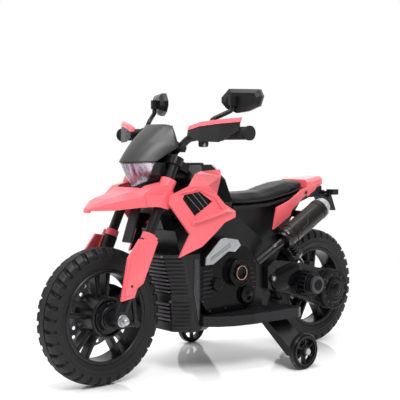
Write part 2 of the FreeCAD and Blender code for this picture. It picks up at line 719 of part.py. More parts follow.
pivot_at = (s.pivot_x, s.pivot_z)
shock_top = (s.shock_top_x, s.shock_top_z)
shock_y = s.shock_y - 9
head = on_fork(post(s.head_diameter / 2, s.head_foot, s.head_top - s.head_foot, (steer_x, 0), 180))
shell = fuse(main, prism("XZ_Plane", frame_points, 0, s.frame_half), prism("XZ_Plane", pan_points, 0, 58),
             prism("XZ_Plane", neck_points, 0, s.neck_half), prism("XZ_Plane", arch_points, 0, s.arch_half),
             head, prism("XZ_Plane", lug_points, 0, s.frame_half - 2),
             rod(s.shock_pin / 2, s.frame_half - 2, shock_y + 10 - s.frame_half, shock_top))
stem_bore = on_fork(post(stem_r + s.axle_play, s.head_foot - 60, s.head_top - s.head_foot + 120,
                         (steer_x, 0)))
pivot_bore = rod(s.pivot_diameter / 2, -100, 200, pivot_at)
left_shell = cut(shell, stem_bore, pivot_bore)
keep(left_shell, "body_shell_left")
socket_bore = rod(5.5, half * -1 - 5, wall + 10, (-85, 296))
keep(cut(mirrored(left_shell), socket_bore), "body_shell_right")

# Radiator grille wrapped around the front of the shell
def grille_ring(z, front):
    side = [(front, 52, z), (front - 36, 90, z), (130, 90, z)]
    return side + [(x, -y, z) for x, y, z in reversed(side)]


def grille_front(z):
    return 195 + (z - 203) * 28 / 109 if z > 203 else 190 + (z - 112) * 5 / 91


grille = lofted([grille_ring(z, grille_front(z)) for z in (112, 203, 312)])
slots = [block((grille_front(z) - 5, -120, z), (260, 120, z + 5)) for z in range(208, 304, 10)]
slots += [block((grille_front(z) - 4, -44, z), (260, 44, z + 5)) for z in range(134, 184, 10)]
shell_room = prism("XZ_Plane", main_points, -half, half * 2)
grille_screws = [place(group(post(3.5, -5, 7.5)), (grille_front(z), 48, z), (0, 1, 0), 90) for z in (307.5,
                                                                                                     190)]
screw_holes = [mirrored(screw) for screw in grille_screws]
keep(cut(grille, shell_room, *slots, *grille_screws, *screw_holes), "radiator_grille")

# Engine covers, rings, trims, footboards
clutch_at = (0, 253)
cover_points = [(127, 279), (93, 279), (39, 308), (14, 306), (-9, 322), (-40, 318), (-75, 280), (-75, 200),
                (-40, 152),
                (100, 152), (127, 190)]
engine = fuse(prism("XZ_Plane", cover_points, half, s.cover_depth),
              rod(s.clutch_diameter / 2, half, 36, clutch_at),
              rod(17, half, 29, (72, 228)), rod(26, half, 30, (-36, 190)))
keep(pair(engine), "engine_covers")
ring_r = s.clutch_ring / 2
keep(pair(cut(rod(ring_r, half + 36, 6, clutch_at), rod(ring_r - 3.5, half, 60, clutch_at))), "clutch_rings")
trim_points = [(117, 301), (65, 346), (50, 348), (4, 340), (-6, 325), (15, 309), (40, 311), (94, 282),
               (119, 282)]
keep(pair(prism("XZ_Plane", trim_points, half, s.trim_face - half)), "frame_trims")

board_points = [(128, half), (128, 100), (100, 128), (60, 148), (0, 160), (-160, 166), (-176, 158),
                (-176, 92),
                (-118, 92), (-118, half)]
board = prism("XY_Plane", board_points, ground, s.footboard_thickness)
board_top = ground + s.footboard_thickness
pedal_at = (20, board_top + 7)
lugs = [block((12, -y - 6, board_top - 2), (28, -y, board_top + 14)) for y in (93, 151)]
right_board = cut(fuse(mirrored(board), *lugs), rod(4 + s.axle_play, -170, 90, pedal_at))
keep(group(board, right_board), "footboards")
pedal_points = [(20, board_top + 4), (95, board_top + 22), (95, board_top + 28), (16, board_top + 11)]
pedal = fuse(rod(4, -156, 62, pedal_at), prism("XZ_Plane", pedal_points, -149, 48))
keep(pedal, "throttle_pedal")

# Battery and board
battery_top = ground + wall + 94
battery = block((-62, -49, ground + wall), (89, 49, battery_top))
keep(group(battery, block((-30, -25, battery_top), (40, 25, battery_top + 16))), "battery_pack")


# Tank, fairings and vents
def tank_ring(z, front, rear, wide):
    side = [(front, wide * 0.55, z), (front - 24, wide, z), (rear + 26, wide, z), (rear, wide * 0.55, z)]
    return side + [(x, -y, z) for x, y, z in reversed(side)]


tank = lofted([tank_ring(*level) for level in ((400, 172, -17, 66), (440, 162, -10, 90), (500, 131, 5, 77),
                                              (538, 110, 24, 44))])
neck_room = prism("XZ_Plane", neck_points, -s.neck_half - 1, s.neck_half * 2 + 2)
keep(cut(tank, neck_room), "tank_cover")

fairing = {"a": (246, 114, 467), "b": (251, 114, 446), "c": (203, 114, 390), "d": (184, 114, 367),
           "e": (212, 106, 310),
           "f": (144, 114, 333), "g": (95, 114, 367), "h": (66, 114, 390), "i": (20, 106, 401),
           "j": (20, 106, 417),
           "k": (65, 114, 437), "l": (94, 114, 464), "m": (48, 80, 509), "n": (43, 71, 526),
           "o": (112, 71, 522),
           "p": (138, 85, 517), "q": (185, 112, 487), "t": (126, 113, 486.5), "v": (209, 114, 456),
           "w": (203, 114, 466), "x": (153, 114, 472),
           "y": (109, 114, 446), "z": (169, 114, 411)}
fairing_faces = [list(word) for word in ("aqw", "awv", "avb", "bvc", "cvz", "czd", "dzg", "dgf", "dfe", "zhg",
                                         "zyh", "ykh",
                                         "hkj", "hji", "ylk", "yxl", "xqt", "xtl", "xwq", "tqp", "ltm", "tpm",
                                         "mpo", "mon")]
skin = facets(fairing, shifted(fairing, 0, -float(s.fairing_thickness), -1), fairing_faces)
bosses = [rod(7, half, 112 - half, at) for at in ((112, 376), (146, 380))]
fairing_left = fuse(skin, *bosses)
keep(fairing_left, "side_fairing_left")
keep(mirrored(fairing_left), "side_fairing_right")
window = [fairing[name] for name in "vwxyz"]
middle = [sum(point[axis] for point in window) / 5 for axis in (0, 2)]
plate_points = [(middle[0] + (x - middle[0]) * 1.08, middle[1] + (z - middle[1]) * 1.12) for x, _,
                z in window]
vent = prism("XZ_Plane", plate_points, 104, 4)
keep(pair(cut(vent, skin)), "side_vents")

# Seat
seat_rings = []
for x, wide, low, crown in ((-16, 44, 425, 458), (-60, 55, 425.5, 454), (-150, 61, 429, 458),
                            (-240, 59, 443, 478),
                            (-312, 44, 458.5, 492)):
    side = low + (crown - low) * 0.55
    corners = [Vector(x, -wide + 3, low), Vector(x, wide - 3, low), Vector(x, wide, side),
               Vector(x, -wide, side)]
    top_arc = Part.Arc(corners[2], Vector(x, 0, crown), corners[3]).toShape()
    edges = [Part.makeLine(corners[0], corners[1]), Part.makeLine(corners[1], corners[2]), top_arc,
             Part.makeLine(corners[3], corners[0])]
    seat_rings.append(Part.Wire(edges))
pan_room = prism("XZ_Plane", pan_points, -58, 116)
keep(cut(feature(Part.makeLoft(seat_rings, True, False)), pan_room), "seat")

# Tail, lamps and plate bracket
tail = {"a": (-157, 74, 356), "b": (-169, 76, 416), "c": (-226, 73, 434), "d": (-286, 62, 461),
        "e": (-395, 37, 484),
        "f": (-290, 60, 436), "g": (-233, 73, 407), "h": (-223, 74, 390)}
tail_faces = [list(word) for word in ("ahb", "hgb", "bgc", "cgf", "cfd", "dfe")]
tail_side = facets(tail, shifted(tail, 0, -7, 0), tail_faces)
tail_rings = [[(x, -wide, low), (x, wide, low), (x, wide, top - 8), (x, wide - 10, top), (x, -wide + 10, top),
               (x, -wide, top - 8)] for x, wide, low, top in ((-316, 54, 440, 490), (-408, 30, 474, 498))]
frame_room = prism("XZ_Plane", frame_points, -s.frame_half, s.frame_half * 2)
keep(cut(fuse(tail_side, mirrored(tail_side), lofted(tail_rings)), frame_room, pan_room), "tail_fairing")
signal = fuse(rod(5, 22, 26, (-420, 449)), block((-436, 44, 443), (-412, 70, 459)))
keep(group(block((-414, -22, 477), (-408, 22, 493)), signal, mirrored(signal)), "rear_lamps")
arm_points = [(-350, 441), (-350, 436), (-425, 436), (-446, 430), (-446, 444), (-425, 456), (-392, 455)]
plate_arm = prism("XZ_Plane", arm_points, -22, 44)
sheet_points = [(-444, 446), (-440, 444), (-462, 393), (-467, 395)]
plate = fuse(plate_arm, prism("XZ_Plane", sheet_points, -34, 68))
plate_holes = [place(group(post(2.5, -20, 40)), (-455, y, 412), (0, 1, 0), -90) for y in (-20, 20)]
keep(cut(plate, frame_room, *plate_holes), "plate_bracket")

# Muffler, drawn along Z and leaned back
muffler_r = s.muffler_diameter / 2
muffler_at = (s.muffler_front_x, s.muffler_y, s.muffler_front_z)
lean = s.muffler_rise - 90
can = fuse(post(muffler_r, 0, s.muffler_length), post(muffler_r - 5, -14, 16), post(muffler_r + 1.5, 20, 12),
           post(muffler_r + 1.5, s.muffler_length - 14, 10))
can = place(can, muffler_at, (0, 1, 0), lean)
header = feature(pipe(bend_path([(-163, 108, 330), (-130, 106, 312), (-84, 82, 273)], 24), 11))
hanger = block((-262, s.frame_half, 386), (-248, 92, 404))
keep(fuse(can, header, hanger), "muffler_can")
cap = doc.addObject("Part::Cone", "Cap")
bind(cap, "Radius1", muffler_r + 1)
bind(cap, "Radius2", muffler_r - 7)
cap.Height = 22
cap = cut(cap, post(muffler_r - 13, 8, 20))
cap = place(cap, (muffler_at[0] - s.muffler_length * cosine(s.muffler_rise), s.muffler_y,
                  muffler_at[2] + s.muffler_length * sine(s.muffler_rise)), (0, 1, 0), lean)
keep(cap, "muffler_end_cap")

# Stabiliser arms, wheels and chassis fasteners
side_z = s.side_wheel_diameter / 2
side_at = (s.side_wheel_x, side_z)
arm_face = s.side_wheel_y - s.side_wheel_width / 2 - 1.5
arm_corners = [(44, ground), (44, ground - s.side_arm_thickness), (104, ground - s.side_arm_thickness),
               (arm_face - 13, 36), (arm_face, 36), (arm_face, 60), (arm_face - 7, 62), (118, ground)]
side_arm = prism("YZ_Plane", arm_corners, s.side_wheel_x - s.side_arm_length / 2, s.side_arm_length)
side_arm = cut(side_arm, rod(s.side_axle / 2, 150, 100, side_at))
keep(pair(side_arm), "training_arms")

side_half = s.side_wheel_width / 2
side_top = s.side_wheel_diameter / 2
side_bore = s.side_axle / 2 + s.axle_play
profile = [(side_half, side_bore), (side_half, 11), (4, 13), (4, side_top - 12),
           (side_half - 1, side_top - 12),
           (side_half - 1, side_top - 4), (side_half - 5, side_top)]
side_wheel = turned(profile + [(-y, r) for y, r in reversed(profile)])
rim_r = float(side_top) - 13.5
for i in range(6):
    corners = [(r * math.cos(math.radians(60 * i + a)), r * math.sin(math.radians(60 * i + a)))
               for r, a in ((16, -18), (rim_r, -24), (rim_r + 0.6, -8), (rim_r + 0.6, 8), (rim_r, 24),
                            (16, 18))]
    side_wheel = cut(side_wheel, prism("XZ_Plane", corners, -10, 20))
side_left = place(group(side_wheel), (s.side_wheel_x, s.side_wheel_y, side_z))
doc.recompute()
keep(side_left, "training_wheel_left")
keep(mirrored(side_left), "training_wheel_right")

side_bolt = fuse(rod(s.side_axle / 2, arm_face - 12, s.side_wheel_width + 14, side_at),
                 rod(8.5, s.side_wheel_y + side_half + 0.6, 6, side_at))
arm_start = s.arm_gap / 2
arm_end = arm_start + s.arm_depth
pivot_bolt = fuse(rod(s.pivot_diameter / 2, -arm_end - 2, arm_end * 2 + 4, pivot_at),
                  rod(10, arm_end + 0.6, 6, pivot_at),
                  rod(10, -arm_end - 6.6, 6, pivot_at))
screws = [rod(4, 97, 2, at) for at in ((100, 294), (20, 326))] + grille_screws
keep(group(pivot_bolt, side_bolt, mirrored(side_bolt), *screws, *[mirrored(screw) for screw in screws]),
     "chassis_fasteners")


# Gears: straight teeth, a tooth of phase 0 points forward
def gear(teeth, phase, start, width):
    count = int(float(teeth))
    pitch_r = float(s.gear_module * teeth / 2)
    step = 2 * math.pi / count
    points = []
    for i in range(count):
        for share, radius in ((-0.25, pitch_r - 2.5), (-0.19, pitch_r), (-0.1, pitch_r + 1.6),
                              (0.1, pitch_r + 1.6),
                              (0.19, pitch_r), (0.25, pitch_r - 2.5)):
            angle = math.radians(phase) + (i + share) * step
            points.append(Vector(radius * math.cos(angle), float(start), radius * math.sin(angle)))
    face = Part.Face(Part.makePolygon(points + points[:1]))
    return feature(face.extrude(Vector(0, float(width), 0)))


along_x = cosine(s.motor_angle)
along_z = sine(s.motor_angle)
idler_reach = s.gear_module * (s.drive_teeth + s.idler_teeth) / 2
motor_reach = idler_reach + s.gear_module * (s.idler_teeth + s.pinion_teeth) / 2
axle_at = (-AXLE_X, AXLE_Z)
idler_at = (-AXLE_X + idler_reach * along_x, AXLE_Z + idler_reach * along_z)
motor_at = (-AXLE_X + motor_reach * along_x, AXLE_Z + motor_reach * along_z)
gear_y = arm_start + 6
angle = float(s.motor_angle)
neck_end = s.neck_width / 2
drive = cut(fuse(gear(s.drive_teeth, angle, gear_y, s.gear_width), rod(20, neck_end, gear_y - neck_end + 2)),
            rod(s.axle_diameter / 2 + s.axle_play, 0, 120))
keep(place(drive, (axle_at[0], 0, axle_at[1])), "drive_gear")
idler_phase = angle + 180 - 180 / float(s.idler_teeth)
idler = cut(gear(s.idler_teeth, idler_phase, gear_y, s.gear_width), rod(4 + s.axle_play, 0, 120))
keep(place(idler, (idler_at[0], 0, idler_at[1])), "idler_gear")
shaft_r = 3
pinion = fuse(gear(s.pinion_teeth, angle + 180, gear_y, s.gear_width), rod(shaft_r, gear_y, 34))
keep(place(pinion, (motor_at[0], 0, motor_at[1])), "motor_pinion")

# Swingarms, gearbox cover, motor and rear axle
arm_outline = [(-125, 255), (-150, 272), (-268, 254), (50 - AXLE_X, 236), (-AXLE_X, 228), (-AXLE_X, 112),
               (45 - AXLE_X, 124),
               (-212, 172), (-125, 195)]
plain_arm = fuse(prism("XZ_Plane", arm_outline, arm_start, s.arm_depth),
                 rod(58, arm_start, s.arm_depth, axle_at))
shock_foot = (s.shock_foot_x, s.shock_foot_z)
shock_lug = fuse(plain_arm, rod(11, arm_start, s.arm_depth, shock_foot),
                 rod(s.shock_pin / 2, shock_y - 8, arm_start - shock_y + 10, shock_foot))
bores = [rod(s.axle_diameter / 2, 0, 200, axle_at), rod(s.pivot_diameter / 2 + s.axle_play, 0, 200, pivot_at)]
inner = arm_start + s.arm_wall
room = s.arm_depth
left_arm = cut(shock_lug, *bores, rod(21, 0, 100, axle_at), rod(53, inner, room, axle_at),
               rod(30, inner, room, idler_at),
               rod(16, inner, room, motor_at))
left_arm = fuse(left_arm, rod(4, inner - 1, room - s.arm_wall + 1, idler_at))
right_arm = mirrored(cut(fuse(shock_lug, rod(40, arm_end, 12, axle_at)), *bores))
keep(group(left_arm, right_arm), "swingarms")

motor_r = s.motor_diameter / 2
bridge = [(axle_at[0], axle_at[1] + 58), (motor_at[0], motor_at[1] + 38), (motor_at[0], motor_at[1] - 38),
          (axle_at[0], axle_at[1] - 58)]
lid = fuse(prism("XZ_Plane", bridge, arm_end, 4), rod(58, arm_end, 4, axle_at), rod(38, arm_end, 4, motor_at),
           rod(s.cover_diameter / 2, arm_end, 4 + s.cover_height, axle_at), rod(37, arm_end, 25, axle_at),
           rod(26, arm_end, 28, axle_at), rod(s.motor_cover / 2, arm_end, 34, motor_at),
           rod(s.motor_cap / 2, arm_end, 53, motor_at))
lid = cut(lid, rod(motor_r, arm_end - 1, s.motor_length + 1, motor_at),
          rod(s.axle_diameter / 2, arm_end - 1, 18, axle_at))
keep(lid, "gearbox_cover")
motor = cut(rod(motor_r, arm_end, s.motor_length, motor_at),
            rod(shaft_r + s.axle_play, arm_end - 1, 20, motor_at))
keep(motor, "drive_motor")
rear_axle = fuse(rod(s.axle_diameter / 2, -arm_end - 14, arm_end * 2 + 26, axle_at),
                 rod(10, -arm_end - 20, 8, axle_at))
keep(rear_axle, "rear_axle")

# Coil-over shocks, drawn along Z from the lower eye
run_x = s.shock_top_x - s.shock_foot_x
run_z = s.shock_top_z - s.shock_foot_z
shock_length = math.hypot(float(run_x), float(run_z))
shock_tilt = Size(math.degrees(math.atan2(float(run_x), float(run_z))), f"atan2({run_x.text}; {run_z.text})")
eye_r = s.shock_eye / 2
rod_r = s.shock_rod / 2
foot_eye = cut(fuse(rod(eye_r, -7, 14), post(rod_r, 4, 82), post(15, 36, 4)),
               rod(s.shock_pin / 2 + s.shock_play, -20, 40))
head_eye = cut(fuse(rod(eye_r, -7, 14, (0, shock_length)), post(s.shock_can / 2, 50, shock_length - 54),
                    post(15, 108, 4)),
               rod(s.shock_pin / 2 + s.axle_play, -20, 40, (0, shock_length)),
               post(rod_r + s.axle_play, 40, 66))
spring_r = (float(s.spring_diameter) - float(s.spring_wire)) / 2
wound = coil(spring_r, float(s.spring_wire), float(s.spring_turns), float(s.spring_length))
wound.translate(Vector(0, 0, 43))
for item, label in ((head_eye, "shock_bodies"), (foot_eye, "shock_rods"), (feature(wound), "shock_springs")):
    left = place(group(item), (s.shock_foot_x, shock_y, s.shock_foot_z), (0, 1, 0), shock_tilt)
    doc.recompute()
    keep(pair(left), label)


# Checks and export
doc.recompute()
os.makedirs("parts", exist_ok=True)
for item in doc.Objects:
    if "Invalid" in item.State or "Error" in item.State:
        raise RuntimeError(f"{item.Label} did not build")
for item in SUBPARTS:
    if item.Shape.isNull() or not item.Shape.isValid():
        raise RuntimeError(f"{item.Label} is not a valid shape")
    item.Shape.exportStep(f"parts/{item.Label}.step")
print(len(SUBPARTS), "sub-parts written")
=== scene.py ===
"""Looks of a child's ride-on electric motorbike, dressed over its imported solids.

Lengths in the classes are millimetres, as in the workshop; they become metres when a mesh is made.
"""
import functools
import logging
import math
from dataclasses import dataclass
from enum import Enum
from typing import Any, Iterable, Sequence

import bmesh
import bpy
import numpy as np
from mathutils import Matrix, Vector


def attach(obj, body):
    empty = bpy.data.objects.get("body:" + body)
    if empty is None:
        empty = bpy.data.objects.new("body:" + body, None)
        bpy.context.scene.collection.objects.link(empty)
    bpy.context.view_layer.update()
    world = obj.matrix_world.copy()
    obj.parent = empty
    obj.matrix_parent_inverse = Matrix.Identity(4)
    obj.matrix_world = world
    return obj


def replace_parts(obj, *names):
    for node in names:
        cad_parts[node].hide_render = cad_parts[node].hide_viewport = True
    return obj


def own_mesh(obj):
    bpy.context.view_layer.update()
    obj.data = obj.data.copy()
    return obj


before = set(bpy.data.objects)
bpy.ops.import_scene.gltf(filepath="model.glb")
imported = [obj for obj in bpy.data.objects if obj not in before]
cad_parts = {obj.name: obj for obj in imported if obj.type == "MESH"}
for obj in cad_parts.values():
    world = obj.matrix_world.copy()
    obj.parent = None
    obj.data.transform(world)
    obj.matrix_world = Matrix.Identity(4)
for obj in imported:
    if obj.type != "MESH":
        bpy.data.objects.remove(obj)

LOG = logging.getLogger("motorbike")
MM = 0.001
ROUND = 2 * np.pi
UPRIGHT = (0, 0, 1)
RAKE = math.radians(25.5)
AXLE = np.array((380.0, 0.0, 170.0))
REAR_AXLE = np.array((-380.0, 0.0, 170.0))
SMOOTH_ANGLE = math.radians(32)
CLOUD_MM = 55
RING_RATE = 6.3
WHITE = "FFFFFF"


def linear(shade: str) -> tuple[float, float, float, float]:
    """Turns an sRGB hex value into linear light.

    Args:
        shade: colour as RRGGBB.
    Returns:
        Linear red, green, blue and an alpha of one.
    """
    parts = [int(shade[i:i + 2], 16) / 255 for i in (0, 2, 4)]
    light = [p / 12.92 if p <= 0.04045 else ((p + 0.055) / 1.055) ** 2.4 for p in parts]
    return (*light, 1.0)


def add(tree: bpy.types.NodeTree, kind: str, inputs: dict[Any, Any], **settings: Any) -> bpy.types.Node:
    """Adds one node, sets its options and fills or links its inputs.

    Args:
        tree: node tree of the material.
        kind: node type.
        inputs: socket name or number to a value, or to the output that feeds it.
        settings: options of the node itself.
    Returns:
        The new node.
    """
    node = tree.nodes.new(kind)
    for name, value in settings.items():
        setattr(node, name, value)
    for key, value in inputs.items():
        if isinstance(value, bpy.types.NodeSocket):
            tree.links.new(value, node.inputs[key])
        else:
            node.inputs[key].default_value = value
    return node


class Grain(Enum):
    """How a surface was made, which decides its fine pattern."""

    MOULDED = "spark-eroded mould"
    POLISHED = "polished mould"
    BRUSHED = "brushed"
    FLUTED = "pressed in upright flutes"
    TURNED = "turned on a lathe"
    LEATHER = "embossed leathercloth"
    RUBBER = "foamed rubber skin"
    FLAKE = "metal flake paint"
    DOTTED = "mould with a dot texture"


CELLS = (Grain.LEATHER, Grain.DOTTED, Grain.FLAKE)
STRETCH = {Grain.BRUSHED: (0.06, 1.0, 1.0), Grain.FLUTED: (0.3, 1.0, 0.08)}


@dataclass(frozen=True)
class Finish:
    """One material: its colours, gloss, fine pattern and slot in the record.

    The pattern sizes are millimetres; those finer than a pixel of the picture are drawn coarser, so they show.
    """

    name: str
    shade: str
    drift: str
    # Paler colour of the edges: scuffing with painted highlight
    edge_scuff_and_highlight: str
    grain: Grain
    grain_mm: float
    bump_mm: float
    rough: float
    rough_spread: float = 0.08
    slot: str = "black"
    metallic: float = 0.0
    coat: float = 0.0
    clear: float = 0.0
    ior: float = 1.5
    edge_mm: float = 0.8
    # How much of that paler edge colour shows: scuffing with painted highlight
    edge_scuff_and_highlight_share: float = 0.35
    shine: float = 0.5
    centre_mm: tuple[float, float, float] = (0.0, 0.0, 0.0)

    def pattern(self, tree: bpy.types.NodeTree, where: bpy.types.NodeSocket) -> bpy.types.NodeSocket:
        """Draws the fine height pattern of the grain.

        Args:
            tree: node tree of the material.
            where: Object coordinates in metres.
        Returns:
            The height output, about 0 to 1.
        """
        scale = 1 / (self.grain_mm * MM)
        if self.grain in CELLS:
            feature = "DISTANCE_TO_EDGE" if self.grain is Grain.LEATHER else "F1"
            stray = 0.0 if self.grain is Grain.DOTTED else 1.0
            cells = add(tree, "ShaderNodeTexVoronoi", {"Vector": where, "Scale": scale, "Randomness": stray},
                        feature=feature)
            return cells.outputs["Distance"]
        if self.grain is Grain.TURNED:
            offset = tuple(-c * MM for c in self.centre_mm)
            moved = add(tree, "ShaderNodeMapping", {"Vector": where, "Location": offset}).outputs[0]
            rings = add(tree, "ShaderNodeTexWave",
                        {"Vector": moved, "Scale": scale / RING_RATE, "Distortion": 0.6,
                                          "Detail": 2.0}, wave_type="RINGS", rings_direction="Y")
            return rings.outputs["Fac"]
        laid = add(tree, "ShaderNodeMapping",
                   {"Vector": where, "Scale": STRETCH.get(self.grain, (1.0, 1.0, 1.0))}).outputs[0]
        speck = add(tree, "ShaderNodeTexNoise",
                    {"Vector": laid, "Scale": scale, "Detail": 3.0, "Roughness": 0.6})
        return speck.outputs["Fac"]

    def material(self) -> bpy.types.Material:
        """Builds the node material once and gives it back."""
        known = bpy.data.materials.get(self.name)
        if known:
            return known
        made = bpy.data.materials.new(self.name)
        made.use_nodes = True
        tree = made.node_tree
        tree.nodes.clear()
        where = add(tree, "ShaderNodeTexCoord", {}).outputs["Object"]
        height = self.pattern(tree, where)
        cloud = add(tree, "ShaderNodeTexNoise",
                    {"Vector": where, "Scale": 1 / (CLOUD_MM * MM), "Detail": 4.0}).outputs["Fac"]
        # Flutes colour the reflector by their height, pale to dark: painted reflection streaks; every other
        # surface drifts in soft clouds
        tone = cloud
        if self.grain is Grain.FLUTED:
            tone = add(tree, "ShaderNodeMapRange", {0: height, 1: 0.36, 2: 0.64}).outputs[0]
        tint = add(tree, "ShaderNodeMix", {0: tone, 6: linear(self.shade), 7: linear(self.drift)},
                   data_type="RGBA")
        # An edge shows where the rounded normal leaves the flat one; there the colour turns, in patches, to the
        # paler edge colour: scuffing with painted highlight
        rounded = add(tree, "ShaderNodeBevel", {"Radius": self.edge_mm * MM}, samples=4).outputs[0]
        flat = add(tree, "ShaderNodeNewGeometry", {}).outputs["Normal"]
        along = add(tree, "ShaderNodeVectorMath", {0: rounded, 1: flat},
                    operation="DOT_PRODUCT").outputs["Value"]
        edge = add(tree, "ShaderNodeMapRange", {0: along, 1: 0.999, 2: 0.86, 3: 0.0, 4: self.edge_scuff_and_highlight_share}).outputs[0]
        scuff_and_highlight_mask = add(tree, "ShaderNodeMath", {0: edge, 1: cloud}, operation="MULTIPLY").outputs[0]
        colour = add(tree, "ShaderNodeMix", {0: scuff_and_highlight_mask, 6: tint.outputs[2], 7: linear(self.edge_scuff_and_highlight)},
                     data_type="RGBA")
        mixed = add(tree, "ShaderNodeMath", {0: cloud, 1: height}, operation="ADD").outputs[0]
        rough = add(tree, "ShaderNodeMapRange", {0: mixed, 1: 0.2, 2: 1.6, 3: self.rough,
                                       4: self.rough + self.rough_spread}).outputs[0]
        bump = add(tree, "ShaderNodeBump", {"Height": height, "Distance": self.bump_mm * MM, "Strength": 0.6,
                                  "Normal": rounded}).outputs[0]
        shader = add(tree, "ShaderNodeBsdfPrincipled", {
            "Base Color": colour.outputs[2], "Roughness": rough, "Metallic": self.metallic, "IOR": self.ior,
            "Normal": bump, "Coat Weight": self.coat, "Coat Roughness": 0.06, "Specular IOR Level": self.shine,
            "Transmission Weight": self.clear})
        add(tree, "ShaderNodeOutputMaterial", {"Surface": shader.outputs[0]})
        return made


# Gloss ABS in coral pink: moulded in colour, shiny with a faint ripple, paler where edges catch light
CORAL = Finish("coral_gloss_abs", "E6626A", "DE5963", "FFAAAE", Grain.MOULDED, 6.0, 0.05, 0.26, 0.1, "coral",
               coat=0.1,
               edge_scuff_and_highlight_share=0.6)
CORAL_DOTS = Finish("coral_dotted_abs", "CC4A55", "C2424E", "EE8087", Grain.DOTTED, 3.4, 1.4, 0.42,
                    slot="coral")
# Polypropylene, black, spark-eroded grain: a dull sheen, paler grey at the edges: scuffing with painted
# highlight
BLACK = Finish("black_polypropylene", "111012", "181719", "6A686B", Grain.MOULDED, 1.3, 0.12, 0.24, 0.12,
               shine=0.26,
               edge_scuff_and_highlight_share=0.9)
GLOSS_BLACK = Finish("black_polished_abs", "080709", "0D0C0E", "4A494B", Grain.POLISHED, 9.0, 0.03, 0.1,
                     shine=0.12,
                     edge_scuff_and_highlight_share=0.9)
# The same black behind louvres, paler along its edges: painted highlight
VENT = Finish("black_louvre_polypropylene", "070608", "0B0A0C", "4A494B", Grain.MOULDED, 1.3, 0.08, 0.5, 0.1,
              shine=0.12)
# Light grey for thin lines along the louvre slats' edges: painted highlights
PAINTED_HIGHLIGHT_GREY = Finish("painted_highlight_grey_polypropylene", "8F8C93", "807D84", "B4B2B8", Grain.MOULDED, 1.3, 0.05, 0.4, 0.1)
FIN = Finish("grey_satin_fin_polypropylene", "514C53", "5A545C", "948E97", Grain.MOULDED, 1.3, 0.08, 0.3, 0.1,
             "dark")
# Greys of the screen, the radiator's ends and the hand guards: satin, with the same grain
SMOKE = Finish("grey_satin_polypropylene", "282727", "2E2C2C", "5E5C5B", Grain.MOULDED, 1.6, 0.1, 0.33, 0.1,
               "dark",
               shine=0.4)
SMOKE_DARK = Finish("charcoal_gloss_polypropylene", "211F22", "282629", "6E6C70", Grain.MOULDED, 1.6, 0.1, 0.22,
                    0.1)
GUARD = Finish("charcoal_satin_polypropylene", "181719", "1E1D1F", "525153", Grain.MOULDED, 1.6, 0.1, 0.34, 0.1,
               shine=0.35)
# Paints with metal flake
GUNMETAL = Finish("gunmetal_painted_abs", "151212", "1B1716", "4E4846", Grain.FLAKE, 1.2, 0.03, 0.2,
                  slot="dark",
                  metallic=0.3)
GREY = Finish("grey_painted_abs", "39383A", "424143", "7C7A7B", Grain.FLAKE, 1.2, 0.04, 0.34, 0.1, "dark",
              metallic=0.3)
SILVER = Finish("silver_painted_abs", "97989B", "A3A4A7", "D0D1D3", Grain.FLAKE, 1.1, 0.04, 0.34, 0.1, "silver",
                metallic=0.35, edge_scuff_and_highlight_share=0.7)
DULL_SILVER = Finish("dull_silver_painted_abs", "7C7D80", "86878A", "B0B1B3", Grain.FLAKE, 1.1, 0.04, 0.42, 0.1,
                     "silver", metallic=0.35)
COPPER = Finish("copper_plated_ring", "D6A086", "CB9073", "EBC4AE", Grain.TURNED, 2.0, 0.05, 0.28, 0.1,
                "copper",
                metallic=0.8, centre_mm=(0, 0, 253))
# Foamed EVA tyre: dead black skin, greyer along its edges
TYRE = Finish("black_eva_tyre", "101011", "19181A", "3A393A", Grain.RUBBER, 2.2, 0.16, 0.42, 0.2, "rubber",
              edge_scuff_and_highlight_share=0.6,
              shine=0.3)
GRIP = Finish("black_soft_rubber", "121112", "181718", "343334", Grain.RUBBER, 1.8, 0.2, 0.55, 0.12, "grip",
              shine=0.3)
STEEL = Finish("zinc_plated_steel", "B4B6B8", "A4A7A9", "D8DADB", Grain.BRUSHED, 1.5, 0.04, 0.26, 0.14, "steel",
               metallic=0.9)
CHROME = Finish("chromed_disc_steel", "BFC1C4", "B0B2B6", "E6E7E8", Grain.TURNED, 2.4, 0.05, 0.2, 0.12, "steel",
                metallic=0.6, centre_mm=(380, 0, 170))
SPRING = Finish("black_enamelled_wire", "161517", "1D1C1F", "59585B", Grain.POLISHED, 5.0, 0.03, 0.18, 0.1,
                "steel",
                coat=0.2)
LENS = Finish("clear_polycarbonate", "F1EEF3", "E6E7F2", WHITE, Grain.POLISHED, 14.0, 0.03, 0.03, 0.03, "clear",
              clear=1.0, ior=1.45, edge_mm=0.3, edge_scuff_and_highlight_share=0.1, shine=0.4)
# Reflector of the lamp: aluminium, coloured pale and violet-blue in upright streaks that follow its flutes:
# painted reflections
REFLECTOR = Finish("reflector_painted_reflections", "EADEDE", "34365E", "FFF4F2", Grain.FLUTED, 8.0, 0.25, 0.16, 0.2,
                   "clear",
                   metallic=0.5, edge_scuff_and_highlight_share=0.9)
GLASS = Finish("silvered_mirror_glass", "DADEE0", "D3D8DB", "ECEFF0", Grain.POLISHED, 40.0, 0.01, 0.03, 0.03,
               metallic=1.0)
LEATHER = Finish("black_leathercloth", "151415", "1B1A1B", "302F30", Grain.LEATHER, 3.4, 0.35, 0.46, 0.14,
                 "seat",
                 shine=0.25)
THREAD = Finish("charcoal_polyester_thread", "3B3A3C", "454446", "5A595B", Grain.MOULDED, 0.8, 0.1, 0.6, 0.1,
                "seat")
RED_LENS = Finish("red_lamp_acrylic", "B3161A", "9E1015", "E2575A", Grain.DOTTED, 4.0, 0.5, 0.14, slot="lamp",
                  coat=0.3)
